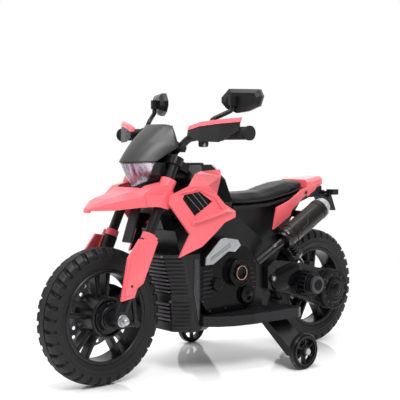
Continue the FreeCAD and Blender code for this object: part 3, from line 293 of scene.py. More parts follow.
AMBER_LENS = Finish("amber_lamp_acrylic", "B96420", "AB5616", "DE9A58", Grain.DOTTED, 4.0, 0.5, 0.14,
                    slot="lamp",
                    coat=0.3)
NYLON = Finish("natural_nylon", "D4CFBE", "CAC4B1", "E8E4D8", Grain.MOULDED, 1.6, 0.08, 0.45, 0.12)
BUTTON_RED = Finish("red_gloss_abs", "B81A20", "AC151B", "E8686C", Grain.POLISHED, 6.0, 0.03, 0.2, slot="red",
                    coat=0.2)
DIAL_WHITE = Finish("white_printed_acrylic", "D8D8D6", "CFCFCD", "F4F4F2", Grain.POLISHED, 8.0, 0.02, 0.3)
PAPER = Finish("pale_studio_floor", WHITE, "FAFAFB", WHITE, Grain.POLISHED, 30.0, 0.01, 0.05, 0.04, edge_scuff_and_highlight_share=0.0)


@dataclass
class Surface:
    """Points in millimetres and the faces between them, one index array for each face length."""

    points: np.ndarray
    faces: list[np.ndarray]

    def plus(self, other: "Surface") -> "Surface":
        """Joins another surface's points and faces to these."""
        moved = [f + len(self.points) for f in other.faces]
        return Surface(np.vstack((self.points, other.points)), self.faces + moved)

    def at(self, *place: float) -> "Surface":
        """The same surface, moved."""
        return Surface(self.points + place, self.faces)

    def copies(self, places: np.ndarray, turns: np.ndarray | None = None) -> "Surface":
        """Repeats the surface, turned and moved.

        Args:
            places: one place in millimetres for each copy, or one for all.
            turns: one rotation matrix for each copy, one for all, or none.
        Returns:
            All copies in one surface.
        """
        shapes = self.points[None] if turns is None else np.einsum("kij,vj->kvi", turns, self.points)
        many = shapes + np.atleast_2d(places)[:, None, :]
        step = np.arange(len(many))[:, None, None] * len(self.points)
        faces = [(f[None] + step).reshape(-1, f.shape[1]) for f in self.faces]
        return Surface(many.reshape(-1, 3), faces)

    def both_sides(self) -> "Surface":
        """Adds the mirror image across the centre plane, with its faces turned back outwards."""
        return self.plus(Surface(self.points * (1, -1, 1), [f[:, ::-1] for f in self.faces]))

    def piece(self, name: str, finish: Finish, body: str = "chassis", closed: bool = True,
              slot: str = "") -> bpy.types.Object:
        """Makes the object, merges doubles, turns faces outwards and lets it ride on a body.

        Args:
            name: piece name.
            finish: its material.
            body: CAD body that carries it.
            closed: whether the surface encloses a space.
            slot: not used.
        Returns:
            The new object.
        """
        mesh = bpy.data.meshes.new(name)
        mesh.from_pydata(self.points * MM, [], [row for f in self.faces for row in f.tolist()])
        work = bmesh.new()
        work.from_mesh(mesh)
        bmesh.ops.remove_doubles(work, verts=work.verts, dist=2e-6)
        bmesh.ops.dissolve_degenerate(work, edges=work.edges, dist=1e-6)
        if closed:
            bmesh.ops.recalc_face_normals(work, faces=work.faces)
        work.to_mesh(mesh)
        work.free()
        mesh.shade_smooth()
        mesh.set_sharp_from_angle(angle=SMOOTH_ANGLE)
        obj = bpy.data.objects.new(name, mesh)
        bpy.context.scene.collection.objects.link(obj)
        mesh.materials.append(finish.material())
        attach(obj, body)
        LOG.info("%s rides on %s", name, body)
        return obj


def joined(parts: Iterable[Surface]) -> Surface:
    """All parts as one surface."""
    return functools.reduce(Surface.plus, parts)


def spots(x: Any, y: Any, z: Any) -> np.ndarray:
    """Places whose coordinates are arrays or single numbers."""
    return np.stack(np.broadcast_arrays(x, y, z), -1).astype(float)


def on_circle(angles: np.ndarray, radius: float, y: float, centre: Sequence[float]) -> np.ndarray:
    """Places on a circle about Y, at a distance y from its centre."""
    return np.array(centre) + spots(radius * np.cos(angles), y, radius * np.sin(angles))


def spun(angles: Any, first: int = 0, second: int = 2) -> np.ndarray:
    """Matrices that turn the first axis towards the second, X towards Z unless told."""
    angles = np.atleast_1d(angles)
    many = np.repeat(np.eye(3)[None], len(angles), 0)
    many[:, first, first] = many[:, second, second] = np.cos(angles)
    many[:, second, first] = np.sin(angles)
    many[:, first, second] = -np.sin(angles)
    return many


def power(values: np.ndarray, exponent: float) -> np.ndarray:
    """Raises to a power and keeps the sign."""
    return np.sign(values) * np.abs(values) ** exponent


def ramp(value: np.ndarray, over: float) -> np.ndarray:
    """Rises from 0 to 1 while the value runs from 0 to a length."""
    return np.clip(value / over, 0, 1)


def unit(rows: np.ndarray) -> np.ndarray:
    """Each row drawn to length one."""
    return rows / np.linalg.norm(rows, axis=1)[:, None]


def woven(points: np.ndarray, wrap_u: bool = False, wrap_v: bool = False) -> Surface:
    """Joins a grid of points with quads.

    Args:
        points: m by n by 3 grid.
        wrap_u: joins the last row to the first.
        wrap_v: joins the last column to the first.
    Returns:
        The surface.
    """
    m, n = points.shape[:2]
    order = np.arange(m * n).reshape(m, n)
    order = np.vstack((order, order[:1])) if wrap_u else order
    order = np.hstack((order, order[:, :1])) if wrap_v else order
    quads = np.stack((order[:-1, :-1], order[1:, :-1], order[1:, 1:], order[:-1, 1:]), -1)
    return Surface(points.reshape(-1, 3), [quads.reshape(-1, 4)])


def capped(rings: np.ndarray) -> Surface:
    """Joins rings of points and closes the first and the last with one face each."""
    body = woven(rings, wrap_v=True)
    levels, count = rings.shape[:2]
    ends = np.array((np.arange(count), np.arange(count)[::-1] + (levels - 1) * count))
    return Surface(body.points, body.faces + [ends])


def turned(profile: Sequence[tuple[float, float]], at: Sequence[float], axis: Sequence[float] = (0, 1, 0),
           steps: int = 48) -> Surface:
    """Turns a profile: a point runs along the axis by its first number and stands off it by its second.

    Args:
        profile: rows of distance along the axis and radius.
        at: a point on the axis.
        axis: direction of the axis.
        steps: points around.
    Returns:
        The turned surface, open at ends whose radius is not zero.
    """
    along, radius = np.array(profile, float).T
    line = np.array(axis, float) / np.linalg.norm(axis)
    side = np.cross(line, (0.0, 0.0, 1.0) if abs(line[2]) < 0.9 else (1.0, 0.0, 0.0))
    side /= np.linalg.norm(side)
    up = np.cross(line, side)
    angle = np.linspace(0, ROUND, steps, endpoint=False)
    spokes = np.cos(angle)[:, None] * side + np.sin(angle)[:, None] * up
    grid = np.array(at) + along[:, None, None] * line + radius[:, None, None] * spokes[None]
    return woven(grid, wrap_v=True)


def tube(path: np.ndarray, radius: float, sides: int = 12) -> Surface:
    """Carries a circle along a path, square to the path at each point.

    Args:
        path: points of the path.
        radius: radius of the tube.
        sides: points around.
    Returns:
        The tube, with its ends drawn to a point.
    """
    ahead = unit(np.gradient(path, axis=0))
    hint = np.eye(3)[int(np.argmin(np.abs(ahead).max(0)))]
    side = unit(np.cross(ahead, hint))
    up = np.cross(ahead, side)
    angle = np.linspace(0, ROUND, sides, endpoint=False)
    ring = np.cos(angle)[None, :, None] * side[:, None] + np.sin(angle)[None, :, None] * up[:, None]
    first, last = (np.repeat(end[None, None], sides, 1) for end in (path[0], path[-1]))
    return woven(np.concatenate((first, path[:, None] + radius * ring, last)), wrap_v=True)


def slab(outline: Sequence[tuple[float, float]], low: float, high: float, chamfer: float = 0.8) -> Surface:
    """Raises a flat outline into a plate with chamfered rims.

    Each corner moves inwards along the bisector of its edges by the chamfer at the bottom and top rings.

    Args:
        outline: corners in order, as X and Z.
        low: Y where the plate starts.
        high: Y where it ends.
        chamfer: width of the chamfers.
    Returns:
        The closed plate.
    """
    flat = np.array(outline, float)
    before = unit(flat - np.roll(flat, 1, 0))
    after = unit(np.roll(flat, -1, 0) - flat)
    turn = np.sign(np.sum(flat[:, 0] * np.roll(flat[:, 1], -1) - np.roll(flat[:, 0], -1) * flat[:, 1]))
    normal = unit((before + after)[:, ::-1] * (-1, 1) * turn)
    cosine = np.abs(np.sum(normal * (before[:, ::-1] * (-1, 1)), 1)).clip(0.35)
    inset = flat + normal * (chamfer / cosine)[:, None]
    cut = math.copysign(min(chamfer, abs(high - low) * 0.45), high - low)
    levels = ((inset, low), (flat, low + cut), (flat, high - cut), (inset, high))
    return capped(np.stack([np.insert(shape, 1, level, axis=1) for shape, level in levels]))


def pill(size: Sequence[float], soft: float = 0.3, steps: int = 12) -> Surface:
    """A rounded block: a superellipsoid, whose sines and cosines are raised to a small power.

    Args:
        size: half lengths along X, Y and Z.
        soft: power; near 0 is a sharp block and 1 an ellipsoid.
        steps: half the points around.
    Returns:
        The closed block about the origin.
    """
    lat = np.linspace(-np.pi / 2, np.pi / 2, steps + 1)[:, None]
    lon = np.linspace(-np.pi, np.pi, steps * 2, endpoint=False)[None]
    level = power(np.cos(lat), soft)
    grid = spots(level * power(np.cos(lon), soft), level * power(np.sin(lon), soft), power(np.sin(lat), soft))
    return woven(grid * np.array(size), wrap_v=True)


def bordered(outer: Sequence[tuple[float, float]], inner: Sequence[tuple[float, float]], base: float,
             rise: float, slope: float) -> Surface:
    """Raises a border between two outlines with the same number of corners, with sloped flanks.

    Args:
        outer: outer corners as X and Z.
        inner: inner corners as X and Z.
        base: Y of the face that it stands on.
        rise: height of the border.
        slope: how far each flank leans in.
    Returns:
        The closed border.
    """
    big, small = np.array(outer, float), np.array(inner, float)
    across = unit(small - big) * slope
    rows = ((big, base), (big + across, base + rise), (small - across, base + rise), (small, base))
    grid = np.stack([np.insert(shape, 1, level, axis=1) for shape, level in rows])
    return woven(grid, wrap_u=True, wrap_v=True)


def drawn_in(outline: Sequence[tuple[float, ...]], share: Any) -> np.ndarray:
    """The corners drawn towards their middle until the share of their distance is left."""
    middle = np.mean(outline, axis=0)
    return (np.array(outline) - middle) * share + middle


def patch(corners: Sequence[tuple[float, float, float]], share: float, lift: float) -> Surface:
    """Lays a thin plate on a flat facet: corners drawn towards their middle, lifted along the facet's normal.

    Args:
        corners: corners of the facet, anticlockwise seen from outside.
        share: share of the corners' distance from their middle that is left.
        lift: height of the plate.
    Returns:
        The closed plate.
    """
    flat = drawn_in(corners, share)
    normal = np.cross(flat[1] - flat[0], flat[2] - flat[0])
    normal /= np.linalg.norm(normal)
    return capped(np.stack((flat - normal * 0.4, flat + normal * lift * 0.6,
                            drawn_in(flat, 0.95) + normal * lift)))


def walled(obj: bpy.types.Object, thickness: float) -> bpy.types.Object:
    """Gives an open sheet a wall behind its face.

    Args:
        obj: the sheet.
        thickness: wall in millimetres.
    Returns:
        The same object.
    """
    wall = obj.modifiers.new("wall", "SOLIDIFY")
    wall.thickness = thickness * MM
    wall.offset = -1.0
    return obj


def on_fork(surface: Surface) -> Surface:
    """Stands a surface in the fork's own frame: its origin is the front axle and its Z runs up the tubes."""
    return surface.copies(AXLE, spun(RAKE))


def bolt(radius: float, height: float) -> Surface:
    """A domed hexagon-socket screw head along Y: a turned dome with a sunk middle."""
    return turned(((0, 0), (0, radius), (height * 0.6, radius), (height, radius * 0.72), (height, radius * 0.5),
                   (height * 0.45, radius * 0.44), (height * 0.45, 0)), np.zeros(3), steps=12)


def dress(finish: Finish, *nodes: str) -> None:
    """Gives CAD nodes a finish."""
    for name in nodes:
        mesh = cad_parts[name].data
        mesh.materials.clear()
        mesh.materials.append(finish.material())
        LOG.info("%s is %s", name, finish.name)


@dataclass
class Wheel:
    """A road wheel: foam tyre with shoulder blocks, ten-spoke rim and stepped hub."""

    name: str
    centre: np.ndarray
    body: str
    top: float = 170.0
    blocks: int = 34
    tread_deep: float = 8.5
    rib: float = 10.0
    groove: float = 3.5
    slot_half: float = 5.6
    sipe_half: float = 1.2
    shoulder_foot: float = 147.0
    spoke_pairs: int = 5
    spoke_face: float = 12.4

    def tyre(self) -> bpy.types.Object:
        """Builds the tyre.

        Across the width u a smooth section gives distance y and radius r. Around the wheel at angle a the
        radius drops by the tread depth in the two ring grooves beside the centre rib, and in the slots between
        the shoulder blocks. The slots lean with y and the two sides are half a block apart.

        Returns:
            The tyre, in place of its CAD node.
        """
        half = np.array(((27, 116), (30.5, 122), (32.6, 131), (33, 142), (32.6, 152), (30.5, 160), (25, 165.4),
                         (18, 168), (12, 169), (0, self.top)), float)
        section = np.vstack((half * (-1, 1), half[-2::-1]))
        run = np.concatenate(((0,), np.cumsum(np.linalg.norm(np.diff(section, axis=0), axis=1))))
        u = np.linspace(0, run[-1], 96)
        y = np.interp(u, run, section[:, 0])
        r = np.interp(u, run, section[:, 1])
        soft = np.convolve(np.pad(r, 3, "edge"), np.ones(7) / 7, "valid")
        off = np.abs(y)
        r = np.where(off < 31, soft, r)
        a = np.linspace(0, ROUND, self.blocks * 20, endpoint=False)[:, None]
        phase = (a * self.blocks / ROUND + np.sign(y) * 0.25 + 0.012 * off) % 1.0
        pitch = ROUND * self.top / self.blocks
        from_slot = np.minimum(phase, 1 - phase) * pitch
        from_sipe = np.abs(phase - 0.5) * pitch
        shoulder = ramp(off - self.rib - self.groove, 1.2) * ramp(r - self.shoulder_foot, 4)
        slot = ramp(self.slot_half - from_slot, 1.5) * shoulder
        sipe = ramp(self.sipe_half - from_sipe, 1.0) * shoulder * 0.1
        ring = ramp(self.groove - np.abs(off - self.rib - self.groove * 0.5) * 2, 1.6) * 0.75
        hair = ramp(1.6 - np.abs(off - 3.6), 0.8) * 0.14
        deep = self.tread_deep * np.maximum(np.maximum(slot, sipe), np.maximum(ring, hair))
        bead = 0.8 * np.exp(-((r - 131) / 1.6) ** 2) + 0.6 * np.exp(-((r - 143) / 1.2) ** 2)
        out = np.sign(y) * bead - np.sign(y) * 0.35 * slot * self.tread_deep * ramp(off - 27, 5)
        radius = r - deep
        grid = spots(radius * np.cos(a), y + out, radius * np.sin(a))
        surface = woven(grid + self.centre, wrap_u=True, wrap_v=True)
        tyre = surface.piece(f"{self.name}_tyre_tread", TYRE, self.body)
        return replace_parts(tyre, f"{self.name}_tyre")

    def rim_trim(self) -> None:
        """Adds the rounded rim flanges, the ridges on the spokes, and the rounded drum and neck steps."""
        lip = np.array(((24, 107.5), (28, 108), (30, 110.5), (30, 114.5), (28, 117.5), (25, 117), (24, 107.5)))
        flanges = joined(turned(lip * (side, 1), self.centre, steps=96) for side in (1, -1))
        flanges.piece(f"{self.name}_rim_flanges", BLACK, self.body)
        lean = math.atan2(18.2 - 10.0, 62.0)
        bar = pill((3.4, 2.4, 27), 0.35, 8)
        angles = np.arange(self.spoke_pairs) * ROUND / self.spoke_pairs
        signs = (-1, 1)
        bars = joined(bar.copies((side * 13.6, face * self.spoke_face, 78), spun(-side * lean))
                      for side in signs for face in signs)
        ridges = bars.copies(self.centre, spun(angles))
        ridges.piece(f"{self.name}_spoke_ridges", BLACK, self.body)
        drum = turned(((33, 50.3), (37, 50.8), (40, 49.5), (41, 46.5), (40.2, 43.6), (38.2, 42.5), (36, 42)),
                      self.centre, steps=72)
        collar = turned(((44, 27.2), (45, 30), (49, 30.6), (51, 29.5), (51.4, 27)), self.centre)
        drum.plus(collar).piece(f"{self.name}_hub_steps", BLACK, self.body, closed=False)
        places = on_circle(np.arange(5) * ROUND / 5 + 0.3, 34.5, 37.6, self.centre)
        bolt(3.6, 3.0).copies(places).piece(f"{self.name}_hub_screws", BLACK, self.body)

    def build(self) -> None:
        """Builds the tyre and dresses the rim."""
        self.tyre()
        dress(BLACK, f"{self.name}_rim")
        self.rim_trim()


@dataclass
class FrontEnd:
    """Fork, beak fender, lamp, screen, handlebar controls and mirrors."""

    guard_face: float = 96.0
    axle_end: float = 93.5
    dash_top: float = 478.0
    tube_y: float = 75.0
    lamp_top: float = 545.0
    lamp_foot: float = 480.0
    lamp_foot_rise: float = 18.7
    flutes: int = 13
    flute_deep: float = 0.95

    def fork(self) -> None:
        """Adds the guards' raised panels, the axle nuts, the tie brackets and the seals."""
        body = "fork_lower"
        outline = ((22, 52), (2, 66), (3, 88), (-10, 105), (-10, 202), (30, 191), (41, 141))
        panel = on_fork(slab(outline, self.guard_face - 0.5, self.guard_face + 3, 3.2))
        panel.both_sides().piece("fork_guard_panels", CORAL, body)
        screw = on_fork(bolt(3.4, 2.2).at(13, self.guard_face + 2.8, 84))
        screw.both_sides().piece("fork_guard_screws", BLACK, body)
        corners = on_circle(np.arange(6) * np.pi / 3, 12.6, 0, AXLE)[:, ::2]
        nut = slab(corners, self.axle_end + 1.6, self.axle_end + 10.5, 1.2)
        washer = turned(((0, 0), (0, 15), (1.2, 15), (1.8, 14.2), (1.8, 0)), AXLE + (0, self.axle_end, 0),
                        steps=40)
        run = np.linspace(self.axle_end + 10, self.axle_end + 20, 41)
        thread = [(y, 5.6 + 0.5 * math.sin(i * math.pi / 2)) for i, y in enumerate(run)]
        tip = turned([*thread, (run[-1] + 0.8, 4.4), (run[-1] + 1, 0)], AXLE, steps=24)
        joined((nut, washer, tip)).both_sides().piece("front_axle_nuts", STEEL, body)
        t = np.linspace(0, 1, 9)[:, None]
        low, knee, high = spots((-14, -50, -15), self.tube_y + 6, (-8, 8, 62))
        path = np.vstack((low + t * (knee - low), knee + t[1:] * (high - knee)))
        boss = turned(((-7, 0), (-7, 8), (-6, 9), (6, 9), (7, 8), (7, 0)), knee, steps=28)
        on_fork(tube(path, 6.2).plus(boss)).both_sides().piece("fork_tie_brackets", BLACK, body)
        bands = turned(((0, 20.1), (-8, 20.6), (-16, 20.4), (-18, 18.2)), (0, self.tube_y, 104), UPRIGHT)
        on_fork(bands).both_sides().piece("fork_leg_bands", BLACK, body, closed=False)

    def lamp(self) -> None:
        """Builds the lamp: a clear outer shell and, behind it, an aluminised reflector with upright flutes.

        Across v from -1 to 1 and down w from 0 to 1 the front stands at x = x0 less the bulge times a power of
        v, 2.6 at the top and 2 at the foot, and y = wide v. The lower edge rises towards the sides; the
        reflector stands behind it, its flutes a cosine of v.
        """
        v = np.linspace(-1, 1, 97)[None]
        w = np.linspace(0, 1, 25)[:, None]
        levels = (0, 0.45, 1)
        x0 = np.interp(w, levels, (302, 291.5, 280))
        bulge = np.interp(w, levels, (48, 34.5, 24.3))
        wide = np.interp(w, levels, (60.5, 51, 35.1))
        x = x0 - bulge * np.abs(v) ** np.interp(w, (0, 1), (2.6, 2.0))
        foot = self.lamp_foot + self.lamp_foot_rise * np.abs(v)
        z = self.lamp_top + (foot - self.lamp_top) * w
        flute = self.flute_deep * np.cos(v * self.flutes * np.pi) * (0.35 + 0.65 * np.sin(np.pi * w) ** 0.5)
        bowls = 0.25 * np.cos(w * 3 * np.pi)
        behind = spots(x - 2.7 + flute + bowls, wide * v * 0.985, z + 0.6)
        lens = woven(spots(x, wide * v, z)).piece("headlight_lens_shell", LENS, "steering", closed=False)
        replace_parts(walled(lens, 1.2), "headlight_lens")
        # The reflector's pale and violet-blue streaks follow its flutes: painted reflections
        walled(woven(behind).piece("headlight_reflector", REFLECTOR, "steering", closed=False), 0.6)

    def screen(self) -> None:
        """Builds the windscreen: even powers of v carry x and z, odd powers carry y.

        Rows blend by a parabola; towards the sides it gives way to straight runs, so the corner stays sharp.
        """
        rows = np.array((((308, 0, 545.5), (293, 32, 545.5), (250, 61, 548.5)),
                         ((262, 0, 595), (253, 35, 595), (192, 78, 585)),
                         ((205, 0, 640), (202, 29, 640), (192, 56, 637))), float)
        v = np.linspace(-1, 1, 49)[None, :, None]
        w = np.linspace(0, 1, 33)
        start, middle, end = (rows[:, i, None] for i in range(3))
        fourth = (end - start - 4 * (middle - start)) / 0.75
        cubic = (end - 2 * middle) / 0.75
        even = start + (end - start - fourth) * v ** 2 + fourth * v ** 4
        odd = (end - cubic) * v + cubic * v ** 3
        shape = np.where((True, False, True), even, odd)
        mix = np.stack((2 * (w - 0.5) * (w - 1), 4 * w * (1 - w), 2 * w * (w - 0.5)), -1)
        bent = np.stack((np.clip(1 - 2 * w, 0, 1), 1 - np.abs(2 * w - 1), np.clip(2 * w - 1, 0, 1)), -1)
        curved, straight = (np.einsum("wr,rvk->wvk", share, shape) for share in (mix, bent))
        screen = woven(curved * (1 - v ** 2) + straight * v ** 2)
        screen = screen.piece("windscreen_shell", SMOKE, "steering", closed=False)
        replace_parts(walled(screen, 2.6), "windscreen")

    def beak_sides(self) -> None:
        """Closes the beak over the fork sleeves with a ruled sheet on each side, and rounds its tip."""
        low = ((241, 97.6, 430), (252, 97.6, 433), (264, 96.8, 437), (295, 82, 440))
        high = ((224, 97.6, 474), (234, 97.6, 470), (248, 96.6, 467), (299, 80.6, 466))
        pill((6.4, 10.2, 4.0), 0.6, 12).at(415.6, 0, 428.8).piece("beak_tip", CORAL, "steering")
        left = np.array((low, high), float)
        for side, sheet in (("left", left), ("right", (left * (1, -1, 1))[:, ::-1])):
            plate = woven(sheet).piece(f"beak_side_{side}", CORAL, "steering", closed=False)
            plate.data.shade_flat()
            walled(plate, 3.0)

    def dash(self) -> None:
        """Adds the gauge, a turned bezel and face with tick bars and a needle, and the power button's ring."""
        body = "steering"
        at = np.array((-4.0, 0.0, self.dash_top))
        bezel = turned(((-0.5, 15), (2.2, 14.6), (2.6, 13.6), (2.2, 12.6), (0.4, 12.2), (0.4, 0)), at, UPRIGHT)
        on_fork(bezel).piece("gauge_bezel", GLOSS_BLACK, body, closed=False)
        angles = np.radians(np.linspace(-120, 120, 13))
        places = at + spots(9.8 * np.cos(angles), 9.8 * np.sin(angles), 0.7)
        ticks = pill((1.6, 0.35, 0.3), 0.4, 5).copies(places, spun(angles, 0, 1))
        on_fork(ticks).piece("gauge_ticks", DIAL_WHITE, body)
        needle = pill((5.2, 0.5, 0.4), 0.4, 6).at(*at + (3.6, 0, 1.3))
        on_fork(needle).piece("gauge_needle", BUTTON_RED, body)
        ring = turned(((-0.4, 9.6), (1.4, 9.4), (1.8, 8.6), (1.4, 7.9), (-0.4, 7.7)), (-26, 24, self.dash_top),
                      UPRIGHT)
        on_fork(ring).piece("power_button_ring", SILVER, body, closed=False)

    def bars(self) -> None:
        """Adds the grips' ribs, the control housings beside them and the guards' screws."""
        rib = turned(((-1.3, 15.0), (-0.7, 16.1), (0.7, 16.1), (1.3, 15.0)), np.zeros(3), steps=40)
        ribs = rib.copies(spots(118, 166 + np.arange(15) * 5.6, 618))
        ribs.both_sides().piece("grip_ribs", GRIP, "steering", closed=False)
        housing = pill((17, 8.5, 19), 0.35, 10).at(116, 126, 618)
        controls = housing.plus(pill((12, 8, 14), 0.35, 10).at(160, 136, 598))
        controls.both_sides().piece("bar_controls", BLACK, "steering")
        bolt(4.4, 3.2).at(163, 142.6, 590).both_sides().piece("perch_screws", STEEL, "steering")

    def build(self) -> None:
        """Dresses the front end."""
        dress(BLACK, "fork_tubes", "fork_legs", "steering_stem", "upper_clamp", "handlebar",
              "headlight_housing",
              "dash_panel", "bar_brackets", "mirror_head_left", "mirror_head_right", "direction_switch")
        dress(CORAL, "fork_guards", "front_fender", "guard_strips")
        dress(SMOKE, "windscreen")
        dress(GUARD, "hand_guards")
        dress(GRIP, "grips")
        dress(STEEL, "front_axle")
        dress(CHROME, "brake_disc")
        dress(LENS, "headlight_lens")
        dress(GLASS, "mirror_glass_left", "mirror_glass_right")
        dress(BUTTON_RED, "power_button")
        self.fork()
        self.lamp()
        self.screen()
        self.beak_sides()
        self.dash()
        self.bars()


@dataclass
class Bodywork:
    """Fairings with louvred vents, tank, trims, radiator and engine covers."""

    face: float = 114.0
    trim_face: float = 97.0
    cover_face: float = 88.0
    slat_lean: float = math.radians(38)
    cap: tuple[float, float] = (72.0, 538.0)
    board_top: float = 150.2

    def louvres(self) -> None:
        """Fills each vent with slanting slats, a flat bar between the ends of each line across the opening, and
        lays pale lines along three slats' edges: painted highlights.
        """
        ends = (((206, 455), (165, 413)), ((201, 464), (151, 419)), ((186, 467), (140, 425)),
                ((170, 470), (130, 431)), ((154, 471), (119, 438)), ((139, 464), (110, 446)))
        slats = []
        for (x0, z0), (x1, z1) in ends:
            bar = pill((math.hypot(x1 - x0, z1 - z0) / 2, 1.4, 4.6), 0.28, 8)
            turn = spun(math.atan2(z1 - z0, x1 - x0)) @ spun(self.slat_lean, 1, 2)
            slats.append(bar.copies(((x0 + x1) / 2, 110.2, (z0 + z1) / 2), turn))
        joined(slats).both_sides().piece("vent_louvres", VENT)
        # Thin pale tubes along three slats' edges: painted highlights
        lines = np.array((((194, 115, 462), (146, 115, 420)), ((178, 115, 469), (135, 115, 428)),
                          ((162, 115, 472), (124, 115, 435))), float)
        share = np.linspace(0, 1, 5)[:, None]
        edges = joined(tube(first + share * (last - first), 0.55, 6) for first, last in lines)
        edges.both_sides().piece("vent_slat_painted_highlights", PAINTED_HIGHLIGHT_GREY)

    def frames(self) -> None:
        """Raises the border of each vent's recess, the ledge under it and the dotted panel behind it.

        The ledge is a strip between three lines: its root above, its overhanging ridge and its foot below.
        """
        outer = ((240, 467), (168, 482), (97, 464), (58, 425), (174, 386), (231, 444))
        inner = ((221, 469), (155, 476), (106, 453), (80, 424), (171, 399), (214, 447))
        bordered(outer, inner, self.face - 0.5, 4.6, 3.4).both_sides().piece("fairing_frames", CORAL)
        first, last = (186, 114, 390), (27, 112, 416)
        above = (first, (172, 113, 403), (118, 113, 416), (66, 113, 431), last)
        ridge = (first, (172, 124, 396), (119, 126, 406), (66, 124, 418), last)
        below = (first, (172, 113, 393), (118, 113, 402), (66, 112, 414), last)
        ledge = woven(np.array((above, ridge, below), float), wrap_u=True)
        ledge.both_sides().piece("fairing_ledges", CORAL).data.shade_flat()
        facet = ((94, 114, 464), (126, 113, 486.5), (48, 80, 509))
        patch(facet, 0.88, 0.7).both_sides().piece("fairing_dot_panels", CORAL_DOTS)

    def liners(self) -> None:
        """Lines the fairings' lower blades in black: a fan of facets behind the skin, given a wall."""
        rim = drawn_in(((184, 107, 367), (203, 107, 390), (169, 107, 411), (66, 107, 390), (95, 107, 367),
                        (144, 107, 333), (212, 99, 310)), (0.95, 1, 0.95))
        count = len(rim)
        wall = woven(np.stack((rim, rim - (0, 1.2, 0))), wrap_v=True)
        fan = np.stack((np.zeros(count - 2, int), np.arange(1, count - 1), np.arange(2, count)), -1)
        lining = Surface(wall.points, wall.faces + [fan, fan[:, ::-1] + count])
        lining.both_sides().piece("fairing_liners", BLACK)

    def lamps(self) -> None:
        """Adds the red tail lens and the amber lenses of the signals, each a rounded block on its housing."""
        pill((2.6, 19.5, 6.4), 0.3, 10).at(-414.2, 0, 485).piece("tail_lamp_lens", RED_LENS)
        pill((2.4, 11.5, 6.2), 0.35, 10).at(-436, 57.5, 451).both_sides().piece("signal_lenses", AMBER_LENS)

    def tank(self) -> None:
        """Adds the lid, a circle drawn longer to an oval: a dark knurled rim around a silver inset."""
        angle = np.linspace(0, ROUND, 120, endpoint=False)
        knurl = 0.5 * np.cos(angle * 30)
        knurled = np.array((0, 1, 1, 0, 0, 0, 0))[:, None]
        rim = np.array((0, 18, 18, 16.6, 12.5, 11.8, 0))[:, None] + knurl * knurled
        inset = np.array((0, 15.2, 15.2, 14.2, 0))[:, None]
        for name, finish, slot, radius, rise in (
                ("filler_cap", GLOSS_BLACK, "dark", rim, (0, 0, 3.2, 4.6, 4.6, 3.8, 3.8)),
                ("filler_cap_inset", SILVER, "silver", inset, (3.4, 3.4, 5.0, 5.6, 5.8))):
            grid = spots(self.cap[0] + 1.5 * radius * np.cos(angle), 1.2 * radius * np.sin(angle),
                         self.cap[1] + np.array(rise)[:, None])
            woven(grid, wrap_v=True).piece(name, finish, slot=slot)

    def trims(self) -> None:
        """Adds the silver plates' raised rims and the sunk slot of each."""
        outer = ((117, 301), (65, 346), (50, 348), (4, 340), (-6, 325), (15, 309), (40, 311), (94, 282),
                 (119, 282))
        plate = slab(outer, self.trim_face - 0.5, self.trim_face + 1.8, 1.6)
        rim = bordered(outer, drawn_in(outer, 0.86), self.trim_face + 1.2, 2.2, 1.6)
        plate.plus(rim).both_sides().piece("trim_plates", SILVER)
        slot = ((103, 292), (99, 291), (32, 326), (31, 331), (36, 333), (102, 297))
        line = bordered(slot, drawn_in(slot, (0.93, 0.8)), self.trim_face + 1.2, 1.8, 0.6)
        line.both_sides().piece("trim_slots", DULL_SILVER)

    def engine(self) -> None:
        """Adds ribs, rounded covers, screws and the turned steps around the ring."""
        at = (0, 0, 253)
        ring = turned(((103.5, 37.4), (105.5, 36.2), (106, 33), (105, 30.5), (103.6, 30)), at, steps=64)
        inner = turned(((104, 17.4), (105, 17.2), (105.4, 15.4), (104.6, 13.6), (104.6, 0)), at)
        low = turned(((97.5, 26.3), (99.5, 25), (100, 20), (98.6, 18), (98.6, 9), (99.4, 7.5), (99.4, 0)),
                     (-36, 0, 190))
        small = turned(((96.6, 17.2), (98.4, 16), (98.8, 13.4), (97.6, 12), (97.6, 0)), (72, 0, 228), steps=40)
        joined((ring, inner, low, small)).both_sides().piece("engine_cover_steps", GLOSS_BLACK, closed=False)
        hoop = turned(((108.6, 19.2), (110.2, 19.0), (110.4, 18.2), (110.0, 17.4), (108.6, 17.3)), at, steps=64)
        hoop.both_sides().piece("clutch_hoops", COPPER, closed=False)
        fins = pill((17, 3.4, 2.6), 0.3, 8).copies(spots(104, self.cover_face, 200 + np.arange(7) * 11.0))
        bars = spots(np.linspace(-62, -52, 4), self.cover_face, 222 + np.arange(4) * 12.0)
        fins.plus(pill((9, 3.0, 2.4), 0.3, 8).copies(bars)).both_sides().piece("engine_fins", BLACK)
        x, z = np.array(((40, 160), (96, 160), (118, 186), (-66, 206), (-66, 276), (-12, 312), (88, 270),
                         (36, 296))).T
        heads = bolt(3.6, 2.8).copies(spots(x, self.cover_face - 0.2, z))
        around = on_circle(np.arange(6) * np.pi / 3 + 0.25, 25.6, 103.8, at)
        heads.plus(bolt(2.6, 2.2).copies(around)).both_sides().piece("engine_screws", GUNMETAL)
        cap = turned(((84.4, 10.4), (90.4, 10.4), (91.4, 9.4), (91.4, 5.6), (89.8, 5.2), (89.8, 0)),
                     (-142, 0, 222), steps=36)
        cap.both_sides().piece("pivot_bolt_caps", GUNMETAL, closed=False)

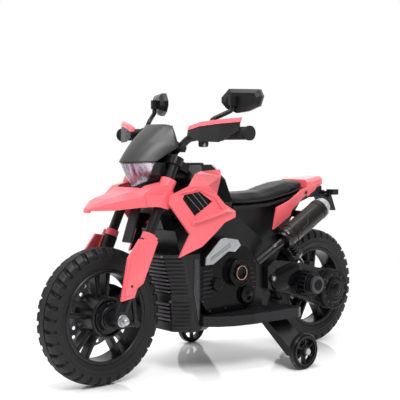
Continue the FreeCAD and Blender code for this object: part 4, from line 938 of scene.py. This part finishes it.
    def radiator(self) -> None:
        """Adds the fins on the slanted sides of the grille, its front bars, and each upright end panel.

        The grille's front leans by 28 in 109 above the height 203 and by 5 in 91 below it.
        """
        turn = spun(math.atan2(38.0, -36.0), 0, 1)
        high, low = np.arange(208, 306, 10.0), np.arange(126, 196, 10.0)
        above = spots(195 + (high - 203) * 28 / 109 - 17.5, 70.6, high + 2.4)
        below = spots(174 + (low - 112) * 5 / 91, 70.4, low)
        fins = pill((23, 3.2, 2.5), 0.28, 8).copies(above, turn)
        fins = fins.plus(pill((23, 2.6, 2.5), 0.28, 8).copies(below, turn))
        fins.both_sides().piece("radiator_fins", BLACK)
        high, low = np.arange(215.5, 310, 10.0), np.arange(141.5, 190, 10.0)
        bars = pill((1.6, 51, 2.3), 0.3, 8).copies(spots(195 + (high - 203) * 28 / 109, 0, high))
        bars = bars.plus(pill((1.6, 43, 2.3), 0.3, 8).copies(spots(190 + (low - 112) * 5 / 91, 0, low)))
        bars.piece("radiator_front_bars", FIN)
        panel = slab(((134, 296), (150, 300), (152, 214), (138, 140), (134, 140)), 89.5, 92.4, 1.4)
        bar = slab(((139, 286), (146, 287), (146, 216), (141, 184), (139, 184)), 92.0, 93.6)
        panel.plus(bar).both_sides().piece("radiator_end_panels", SMOKE_DARK)

    def boards(self) -> None:
        """Adds the treads on the footboards and on the pedal."""
        treads = pill((2.6, 27, 1.8), 0.3, 8).copies(spots(np.arange(-166, -2, 12.0), 128, self.board_top))
        ahead = pill((2.6, 20, 1.8), 0.3, 8).copies(spots(np.arange(-2, 60, 12.0), 118, self.board_top))
        treads.both_sides().plus(ahead).piece("footboard_treads", BLACK)
        long, tall = 79.0, 17.0
        share = np.linspace(0.14, 0.92, 7)
        places = spots(16 + long * share, -125, 161.4 + tall * share)
        bars = pill((2.6, 20, 1.5), 0.3, 8).copies(places, spun(math.atan2(tall, long)))
        bars.piece("pedal_treads", GRIP, "throttle_pedal")

    def build(self) -> None:
        """Dresses the bodywork."""
        dress(CORAL, "side_fairing_left", "side_fairing_right", "tail_fairing")
        dress(BLACK, "body_shell_left", "body_shell_right", "radiator_grille", "footboards", "battery_pack",
              "side_vents", "plate_bracket", "training_arms", "throttle_pedal", "rear_lamps", "frame_trims")
        dress(GLOSS_BLACK, "tank_cover", "clutch_rings", "engine_covers")
        dress(STEEL, "chassis_fasteners")
        self.louvres()
        self.frames()
        self.liners()
        self.lamps()
        self.tank()
        self.trims()
        self.engine()
        self.radiator()
        self.boards()


@dataclass
class RearEnd:
    """Swingarm, gear cover, coil-over shocks, muffler and stabiliser wheels."""

    motor: tuple[float, float] = (-271.28, 196.906)
    arm_end: float = 84.0
    shock_foot: tuple[float, float, float] = (-305.0, 51.0, 245.0)
    shock_top: tuple[float, float, float] = (-215.0, 51.0, 345.0)
    coil_radius: float = 12.9
    wire: float = 2.1
    turns: float = 6.0
    coil_start: float = 43.0
    coil_length: float = 62.0
    travel: float = 9.6
    muffler_at: tuple[float, float, float] = (-170.0, 108.0, 334.0)
    muffler_lean: float = math.radians(28.5)
    shield_radius: float = 29.0

    def springs(self) -> None:
        """Winds the springs: a round wire on a helix about the shock's line."""
        foot, top = np.array(self.shock_foot), np.array(self.shock_top)
        up = (top - foot) / np.linalg.norm(top - foot)
        side = np.array((0.0, 1.0, 0.0))
        other = np.cross(up, side)
        a = np.linspace(0, ROUND * self.turns, int(self.turns * 30))[:, None]
        rise = self.coil_start + self.coil_length * a / a[-1]
        path = foot + up * rise + self.coil_radius * (np.cos(a) * side + np.sin(a) * other)
        springs = tube(path, self.wire, 10).both_sides().piece("shock_spring_coils", SPRING, "shock_body")
        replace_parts(springs, "shock_springs")
        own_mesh(springs)

    def gearbox(self) -> None:
        """Adds the ring, dome and screws of the gear cover, and the stepped, ribbed motor can."""
        body = "swingarm"
        axle = REAR_AXLE + (0, self.arm_end, 0)
        motor = np.array((self.motor[0], self.arm_end, self.motor[1]))
        cover = turned(((20.5, 57.4), (22.5, 56), (23.2, 52.5), (22.4, 49), (22.4, 41), (25, 38.6), (26.4, 36),
                        (26.2, 30), (24.6, 28)), axle, steps=80)
        can = turned(((6, 37.2), (10, 37.4), (12, 36.2), (32, 36.2), (34.6, 35), (35.2, 32), (34.4, 29.4)),
                     motor,
                     steps=64)
        cover.plus(can).piece("gear_cover_steps", GLOSS_BLACK, body, closed=False)
        swell = pill((64, 9, 33), 0.75, 20).copies((-198.0, self.arm_end - 0.5, 222.0), spun(math.radians(-14)))
        swell.both_sides().piece("swingarm_swells", GLOSS_BLACK, body)
        dome = turned(((27, 26.2), (29.4, 25.2), (30.6, 22.6), (29.6, 19.6), (31.4, 14), (32.4, 7), (32.7, 0)),
                      axle,
                      steps=56)
        dome.piece("gear_cover_dome", GLOSS_BLACK, body, closed=False)
        rim = turned(((46, 25.2), (51, 25.2), (53.6, 23.8), (54.6, 21), (54.2, 17.4), (54.2, 15)), motor,
                     steps=56)
        rim.piece("motor_cap_rim", GREY, body, closed=False)
        face = turned(((54.4, 16), (55.8, 15.2), (56, 0)), motor)
        face.piece("motor_cap_face", GLOSS_BLACK, body, closed=False)
        angles = np.arange(12) * np.pi / 6 + 0.2
        ticks = pill((4.2, 1.3, 1.1), 0.4, 6).copies(on_circle(angles, 45, 22.2, axle), spun(angles))
        ticks.piece("gear_cover_ticks", GREY, body)
        angles = np.arange(18) * ROUND / 18
        ribs = pill((1.2, 9, 1.6), 0.4, 6).copies(on_circle(angles, 36.6, 22, motor), spun(angles))
        ribs.piece("motor_can_ribs", BLACK, body)
        x, z = np.array(((-335, 225), (-300, 146), (-240, 232), (-238, 170), (-160, 250), (-160, 205))).T
        screws = bolt(3.6, 2.4).copies(spots(x, self.arm_end - 0.2, z))
        screws.both_sides().piece("swingarm_screws", GUNMETAL, body)

    def muffler(self) -> None:
        """Adds the clamp bands, the heat shield's raised lines, the cap's rivets and the inner outlet tube."""
        lean, at = self.muffler_lean, np.array(self.muffler_at)
        axis = np.array((-math.cos(lean), 0.0, math.sin(lean)))
        up = np.array((math.sin(lean), 0.0, math.cos(lean)))
        out = np.array((0.0, 1.0, 0.0))
        sleeve = turned(((33, 28.2), (34, 28.9), (142, 28.9), (143, 28.2)), at, axis, 56)
        neck = turned(((-15, 22), (-14.6, 23.6), (-8, 24.4), (-6, 26.6), (0, 28.4), (6, 28.9), (8, 28.1)), at,
                      axis,
                      56)
        sleeve.plus(neck).piece("muffler_sleeve", GUNMETAL, closed=False)

        def around(along: Any, degrees: Any, radius: float) -> np.ndarray:
            """Places along the can, turned about it from its outer side upwards."""
            angle = np.radians(degrees)[..., None]
            ray = np.cos(angle) * out + np.sin(angle) * up
            return at + axis * np.asarray(along)[..., None] + radius * ray

        t = np.linspace(0, 1, 60)
        sway = 1 / (1 + np.exp(-(t - 0.42) * 22))
        upper = tube(around(42 + 86 * t, 12 + 34 * sway, self.shield_radius), 1.1, 8)
        lower = tube(around(42 + 96 * t, np.full(60, -30.0), self.shield_radius), 0.9, 8)
        upper.plus(lower).piece("muffler_shield_lines", BLACK)
        places = around(165, np.arange(6) * 60 + 20, 27.2)
        pill((2.4, 2.4, 2.4), 1.0, 6).copies(places).piece("muffler_cap_rivets", STEEL)
        outlet = turned(((168, 14.6), (179, 14.6), (180.6, 13.8), (180.6, 12.6), (179, 12), (168, 12),
                         (168, 14.6)),
                        at, axis, 40)
        outlet.piece("muffler_outlet", GUNMETAL)

    def stabilisers(self) -> None:
        """Adds the rounded tyres and the spokes of the stabiliser wheels."""
        a = np.linspace(0, ROUND, 24, endpoint=False)
        section = np.stack((11.2 * power(np.cos(a), 0.7), 41.3 + 6.1 * power(np.sin(a), 0.8)), -1)
        angles = np.arange(6) * np.pi / 3 + math.radians(30)
        for side, body in ((1, "training_left"), (-1, "training_right")):
            centre = (-114.0, side * 225.0, 47.5)
            tyre = turned([*section, section[0]], centre, steps=72)
            tyre.piece(f"{body}_tyre", GLOSS_BLACK, body, slot="rubber")
            spokes = pill((13, 7.5, 1.9), 0.35, 8).copies(on_circle(angles, 24, 0, centre), spun(angles))
            spokes.piece(f"{body}_spokes", BLACK, body)

    def build(self) -> None:
        """Dresses the rear end."""
        dress(BLACK, "swingarms", "gearbox_cover", "shock_bodies", "training_wheel_left",
              "training_wheel_right")
        dress(STEEL, "rear_axle", "shock_rods", "drive_motor")
        dress(SPRING, "shock_springs")
        dress(GUNMETAL, "muffler_can")
        dress(SILVER, "muffler_end_cap")
        dress(NYLON, "drive_gear", "idler_gear", "motor_pinion")
        self.springs()
        self.gearbox()
        self.muffler()
        self.stabilisers()


@dataclass
class Saddle:
    """The padded seat: a leathercloth cushion with a piped edge and two rows of stitches."""

    tail: float = -312.0
    nose: float = -16.0
    voxel: float = 5.0
    swell: float = 7.0
    pressure: float = 4.0
    shrink: float = 3.0
    frames: int = 20
    along: int = 60
    around: int = 48
    stitch_share: float = 0.62
    reach: float = 6.0

    def stations(self, x: np.ndarray) -> tuple[np.ndarray, np.ndarray, np.ndarray]:
        """Half width, underside and crown of the seat along its length.

        Args:
            x: places along the machine.
        Returns:
            The three sizes at each place.
        """
        at = (self.tail, -240, -150, -60, self.nose)
        wide = np.interp(x, at, (44, 59, 61, 55, 44))
        low = np.interp(x, at, (458.5, 443, 429, 425.5, 425))
        crown = np.interp(x, at, (492, 478, 458, 454, 458))
        return wide, low, crown

    def form(self) -> Surface:
        """The form that is blown up: at each station a flat foot, straight sides and a crowned top."""
        x = np.linspace(self.tail + self.shrink, self.nose - self.shrink, self.along)
        wide, low, crown = (size[:, None] for size in self.stations(x))
        a = np.linspace(0, ROUND, self.around, endpoint=False)[None]
        tall = (crown - low) / 2 - self.shrink * 0.7
        grid = spots(x[:, None], (wide - self.shrink) * power(np.cos(a), 0.45),
                     (crown + low) / 2 + tall * power(np.sin(a), 0.6))
        first, last = (np.repeat(ring.mean(0)[None, None], self.around, 1) for ring in (grid[0], grid[-1]))
        return woven(np.concatenate((first, grid, last)), wrap_v=True)

    def skin(self, seat: bpy.types.Object) -> np.ndarray:
        """The mesh's points in metres."""
        points = np.empty(len(seat.data.vertices) * 3)
        seat.data.vertices.foreach_get("co", points)
        return points.reshape(-1, 3)

    def settle(self, seat: bpy.types.Object) -> None:
        """Applies the seat's modifiers to its mesh."""
        graph = bpy.context.evaluated_depsgraph_get()
        made = bpy.data.meshes.new_from_object(seat.evaluated_get(graph))
        seat.modifiers.clear()
        old = seat.data
        seat.data = made
        bpy.data.meshes.remove(old)

    def blow(self, seat: bpy.types.Object) -> None:
        """Remeshes the form, inflates it as cloth and caps how far a point may move.

        Args:
            seat: the cushion, changed in place.
        """
        scene = bpy.context.scene
        net = seat.modifiers.new("net", "REMESH")
        net.mode = "VOXEL"
        net.voxel_size = self.voxel * MM
        self.settle(seat)
        point = self.skin(seat)
        cloth = seat.modifiers.new("cloth", "CLOTH")
        cloth.settings.use_pressure = True
        cloth.settings.uniform_pressure_force = self.pressure
        cloth.settings.effector_weights.gravity = 0.0
        cloth.point_cache.frame_end = self.frames
        for step in range(1, self.frames + 1):
            scene.frame_set(step)
        self.settle(seat)
        move = self.skin(seat) - point
        scene.frame_set(1)
        far = np.linalg.norm(move, axis=1)[:, None]
        point = point + move * np.minimum(1, self.swell * MM / np.maximum(far, 1e-9))
        wide, low, crown = (size * MM for size in self.stations(point[:, 0] / MM))
        point[:, 0] = np.clip(point[:, 0], (self.tail - 1.5) * MM, (self.nose + 0.5) * MM)
        point[:, 1] = np.clip(point[:, 1], -wide - 2 * MM, wide + 2 * MM)
        point[:, 2] = np.clip(point[:, 2], low + 0.5 * MM, crown + 6 * MM)
        seat.data.vertices.foreach_set("co", point.astype(np.float32).ravel())
        smooth = seat.modifiers.new("smooth", "SMOOTH")
        smooth.factor = 0.5
        smooth.iterations = 6
        self.settle(seat)
        fine = seat.modifiers.new("fine", "SUBSURF")
        fine.levels = 1
        fine.render_levels = 1

    def on_top(self, seat: bpy.types.Object, line: np.ndarray) -> np.ndarray:
        """Lays points on the cushion: each takes the height of the highest cushion point near it.

        Args:
            seat: the finished cushion.
            line: X and Y of the points.
        Returns:
            The points with heights, in millimetres.
        """
        skin = self.skin(seat) / MM
        gap = np.linalg.norm(skin[None, :, :2] - line[:, None], axis=2)
        height = np.where(gap < self.reach, skin[None, :, 2], -1e3).max(1)
        return np.column_stack((line, height))

    def build(self) -> None:
        """Blows the cushion up from a slightly smaller form and adds its piping and stitches."""
        dress(LEATHER, "seat")
        seat = self.form().piece("seat_cushion", LEATHER)
        self.blow(seat)
        seat.data.shade_smooth()
        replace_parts(seat, "seat")
        x = np.linspace(-300, -28, 70)
        wide, low, crown = self.stations(x)
        path = spots(x, wide + 1.2, low + (crown - low) * 0.34)
        tube(path, 1.8, 10).both_sides().piece("seat_piping", LEATHER)
        x = np.arange(-296, -34, 6.0)
        wide = self.stations(x)[0] * self.stitch_share
        rows = np.vstack([np.column_stack((x, side * wide)) for side in (1, -1)])
        pill((1.9, 0.55, 0.5), 0.6, 5).copies(self.on_top(seat, rows)).piece("seat_stitches", THREAD)


@dataclass
class Studio:
    """Pale floor, soft lights and the camera of the photograph; lengths here are metres."""

    eye: tuple[float, float, float] = (1.6933, 1.8528, 0.5861)
    ahead: tuple[float, float, float] = (-0.66224, -0.74706, -0.05786)
    lens: float = 83.37
    floor_half: float = 9.0
    fade_from: float = 0.8
    fade_to: float = 1.9
    aim: tuple[float, float, float] = (0.0, 0.0, 0.3)

    def room(self) -> None:
        """Makes the white room: bright behind and above, dim on the camera's side, white as a backdrop."""
        world = bpy.data.worlds.new("studio")
        world.use_nodes = True
        tree = world.node_tree
        tree.nodes.clear()
        way = add(tree, "ShaderNodeTexCoord", {}).outputs["Generated"]
        toward = add(tree, "ShaderNodeVectorMath", {0: way, 1: (0.30, 0.87, -0.38)}, operation="DOT_PRODUCT")
        glow = add(tree, "ShaderNodeMapRange", {0: toward.outputs["Value"], 1: -0.2, 2: 0.65, 3: 1.05, 4: 0.10})
        walls = add(tree, "ShaderNodeBackground", {"Color": linear(WHITE), "Strength": glow.outputs[0]})
        backdrop = add(tree, "ShaderNodeBackground", {"Color": linear(WHITE), "Strength": 1.0})
        seen = add(tree, "ShaderNodeLightPath", {}).outputs["Is Camera Ray"]
        both = add(tree, "ShaderNodeMixShader", {0: seen, 1: walls.outputs[0], 2: backdrop.outputs[0]})
        add(tree, "ShaderNodeOutputWorld", {"Surface": both.outputs[0]})
        bpy.context.scene.world = world

    def fade(self, paper: bpy.types.Material) -> None:
        """Lets the floor pass into the backdrop's white away from its middle, so no horizon shows.

        Args:
            paper: material of the floor.
        """
        tree = paper.node_tree
        out = tree.nodes["Material Output"]
        near = out.inputs["Surface"].links[0].from_socket
        where = add(tree, "ShaderNodeTexCoord", {}).outputs["Object"]
        away = add(tree, "ShaderNodeVectorMath", {0: where}, operation="LENGTH").outputs["Value"]
        share = add(tree, "ShaderNodeMapRange", {0: away, 1: self.fade_from, 2: self.fade_to},
                    interpolation_type="SMOOTHSTEP").outputs[0]
        white = add(tree, "ShaderNodeEmission", {"Color": linear(WHITE), "Strength": 1.0}).outputs[0]
        both = add(tree, "ShaderNodeMixShader", {0: share, 1: near, 2: white}).outputs[0]
        tree.links.new(both, out.inputs["Surface"])

    def stand(self, name: str, data: Any, place: Sequence[float], way: Vector) -> bpy.types.Object:
        """Stands a light or the camera at a place and points it.

        Args:
            name: name of the object.
            data: the light or camera.
            place: where it stands.
            way: direction that it looks in.
        Returns:
            The new object.
        """
        holder = bpy.data.objects.new(name, data)
        holder.location = place
        holder.rotation_euler = way.to_track_quat("-Z", "Y").to_euler()
        bpy.context.scene.collection.objects.link(holder)
        return holder

    def build(self) -> None:
        """Makes the floor, the lights and the camera."""
        half = self.floor_half
        mesh = bpy.data.meshes.new("studio_floor")
        mesh.from_pydata([(-half, -half, 0), (half, -half, 0), (half, half, 0), (-half, half, 0)], [],
                         [(0, 1, 2, 3)])
        floor = bpy.data.objects.new("studio_floor", mesh)
        bpy.context.scene.collection.objects.link(floor)
        mesh.materials.append(PAPER.material())
        self.fade(PAPER.material())
        self.room()
        bpy.context.scene.view_settings.view_transform = "Standard"
        for name, place, watts, size in (("key", (1.2, 2.2, 2.9), 100.0, 1.3),
                                         ("fill", (2.8, -0.8, 1.6), 8.0, 2.0),
                                         ("top", (0.3, 0.2, 2.8), 42.0, 1.5),
                                         ("back", (-2.6, -1.6, 1.8), 10.0, 1.8)):
            lamp = bpy.data.lights.new(name, "AREA")
            lamp.energy = watts
            lamp.size = size
            self.stand(name, lamp, place, Vector(self.aim) - Vector(place))
        camera = bpy.data.cameras.new("camera")
        camera.lens = self.lens
        camera.sensor_width = 36.0
        camera.clip_start = 0.05
        bpy.context.scene.camera = self.stand("camera", camera, self.eye, Vector(self.ahead))


def main() -> None:
    """Builds the motorbike's looks in order."""
    logging.basicConfig(level=logging.INFO)
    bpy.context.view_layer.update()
    Studio().build()
    Wheel("front", AXLE, "front_wheel").build()
    Wheel("rear", REAR_AXLE, "rear_wheel").build()
    FrontEnd().build()
    Bodywork().build()
    RearEnd().build()
    Saddle().build()


if __name__ == "__main__":
    main()
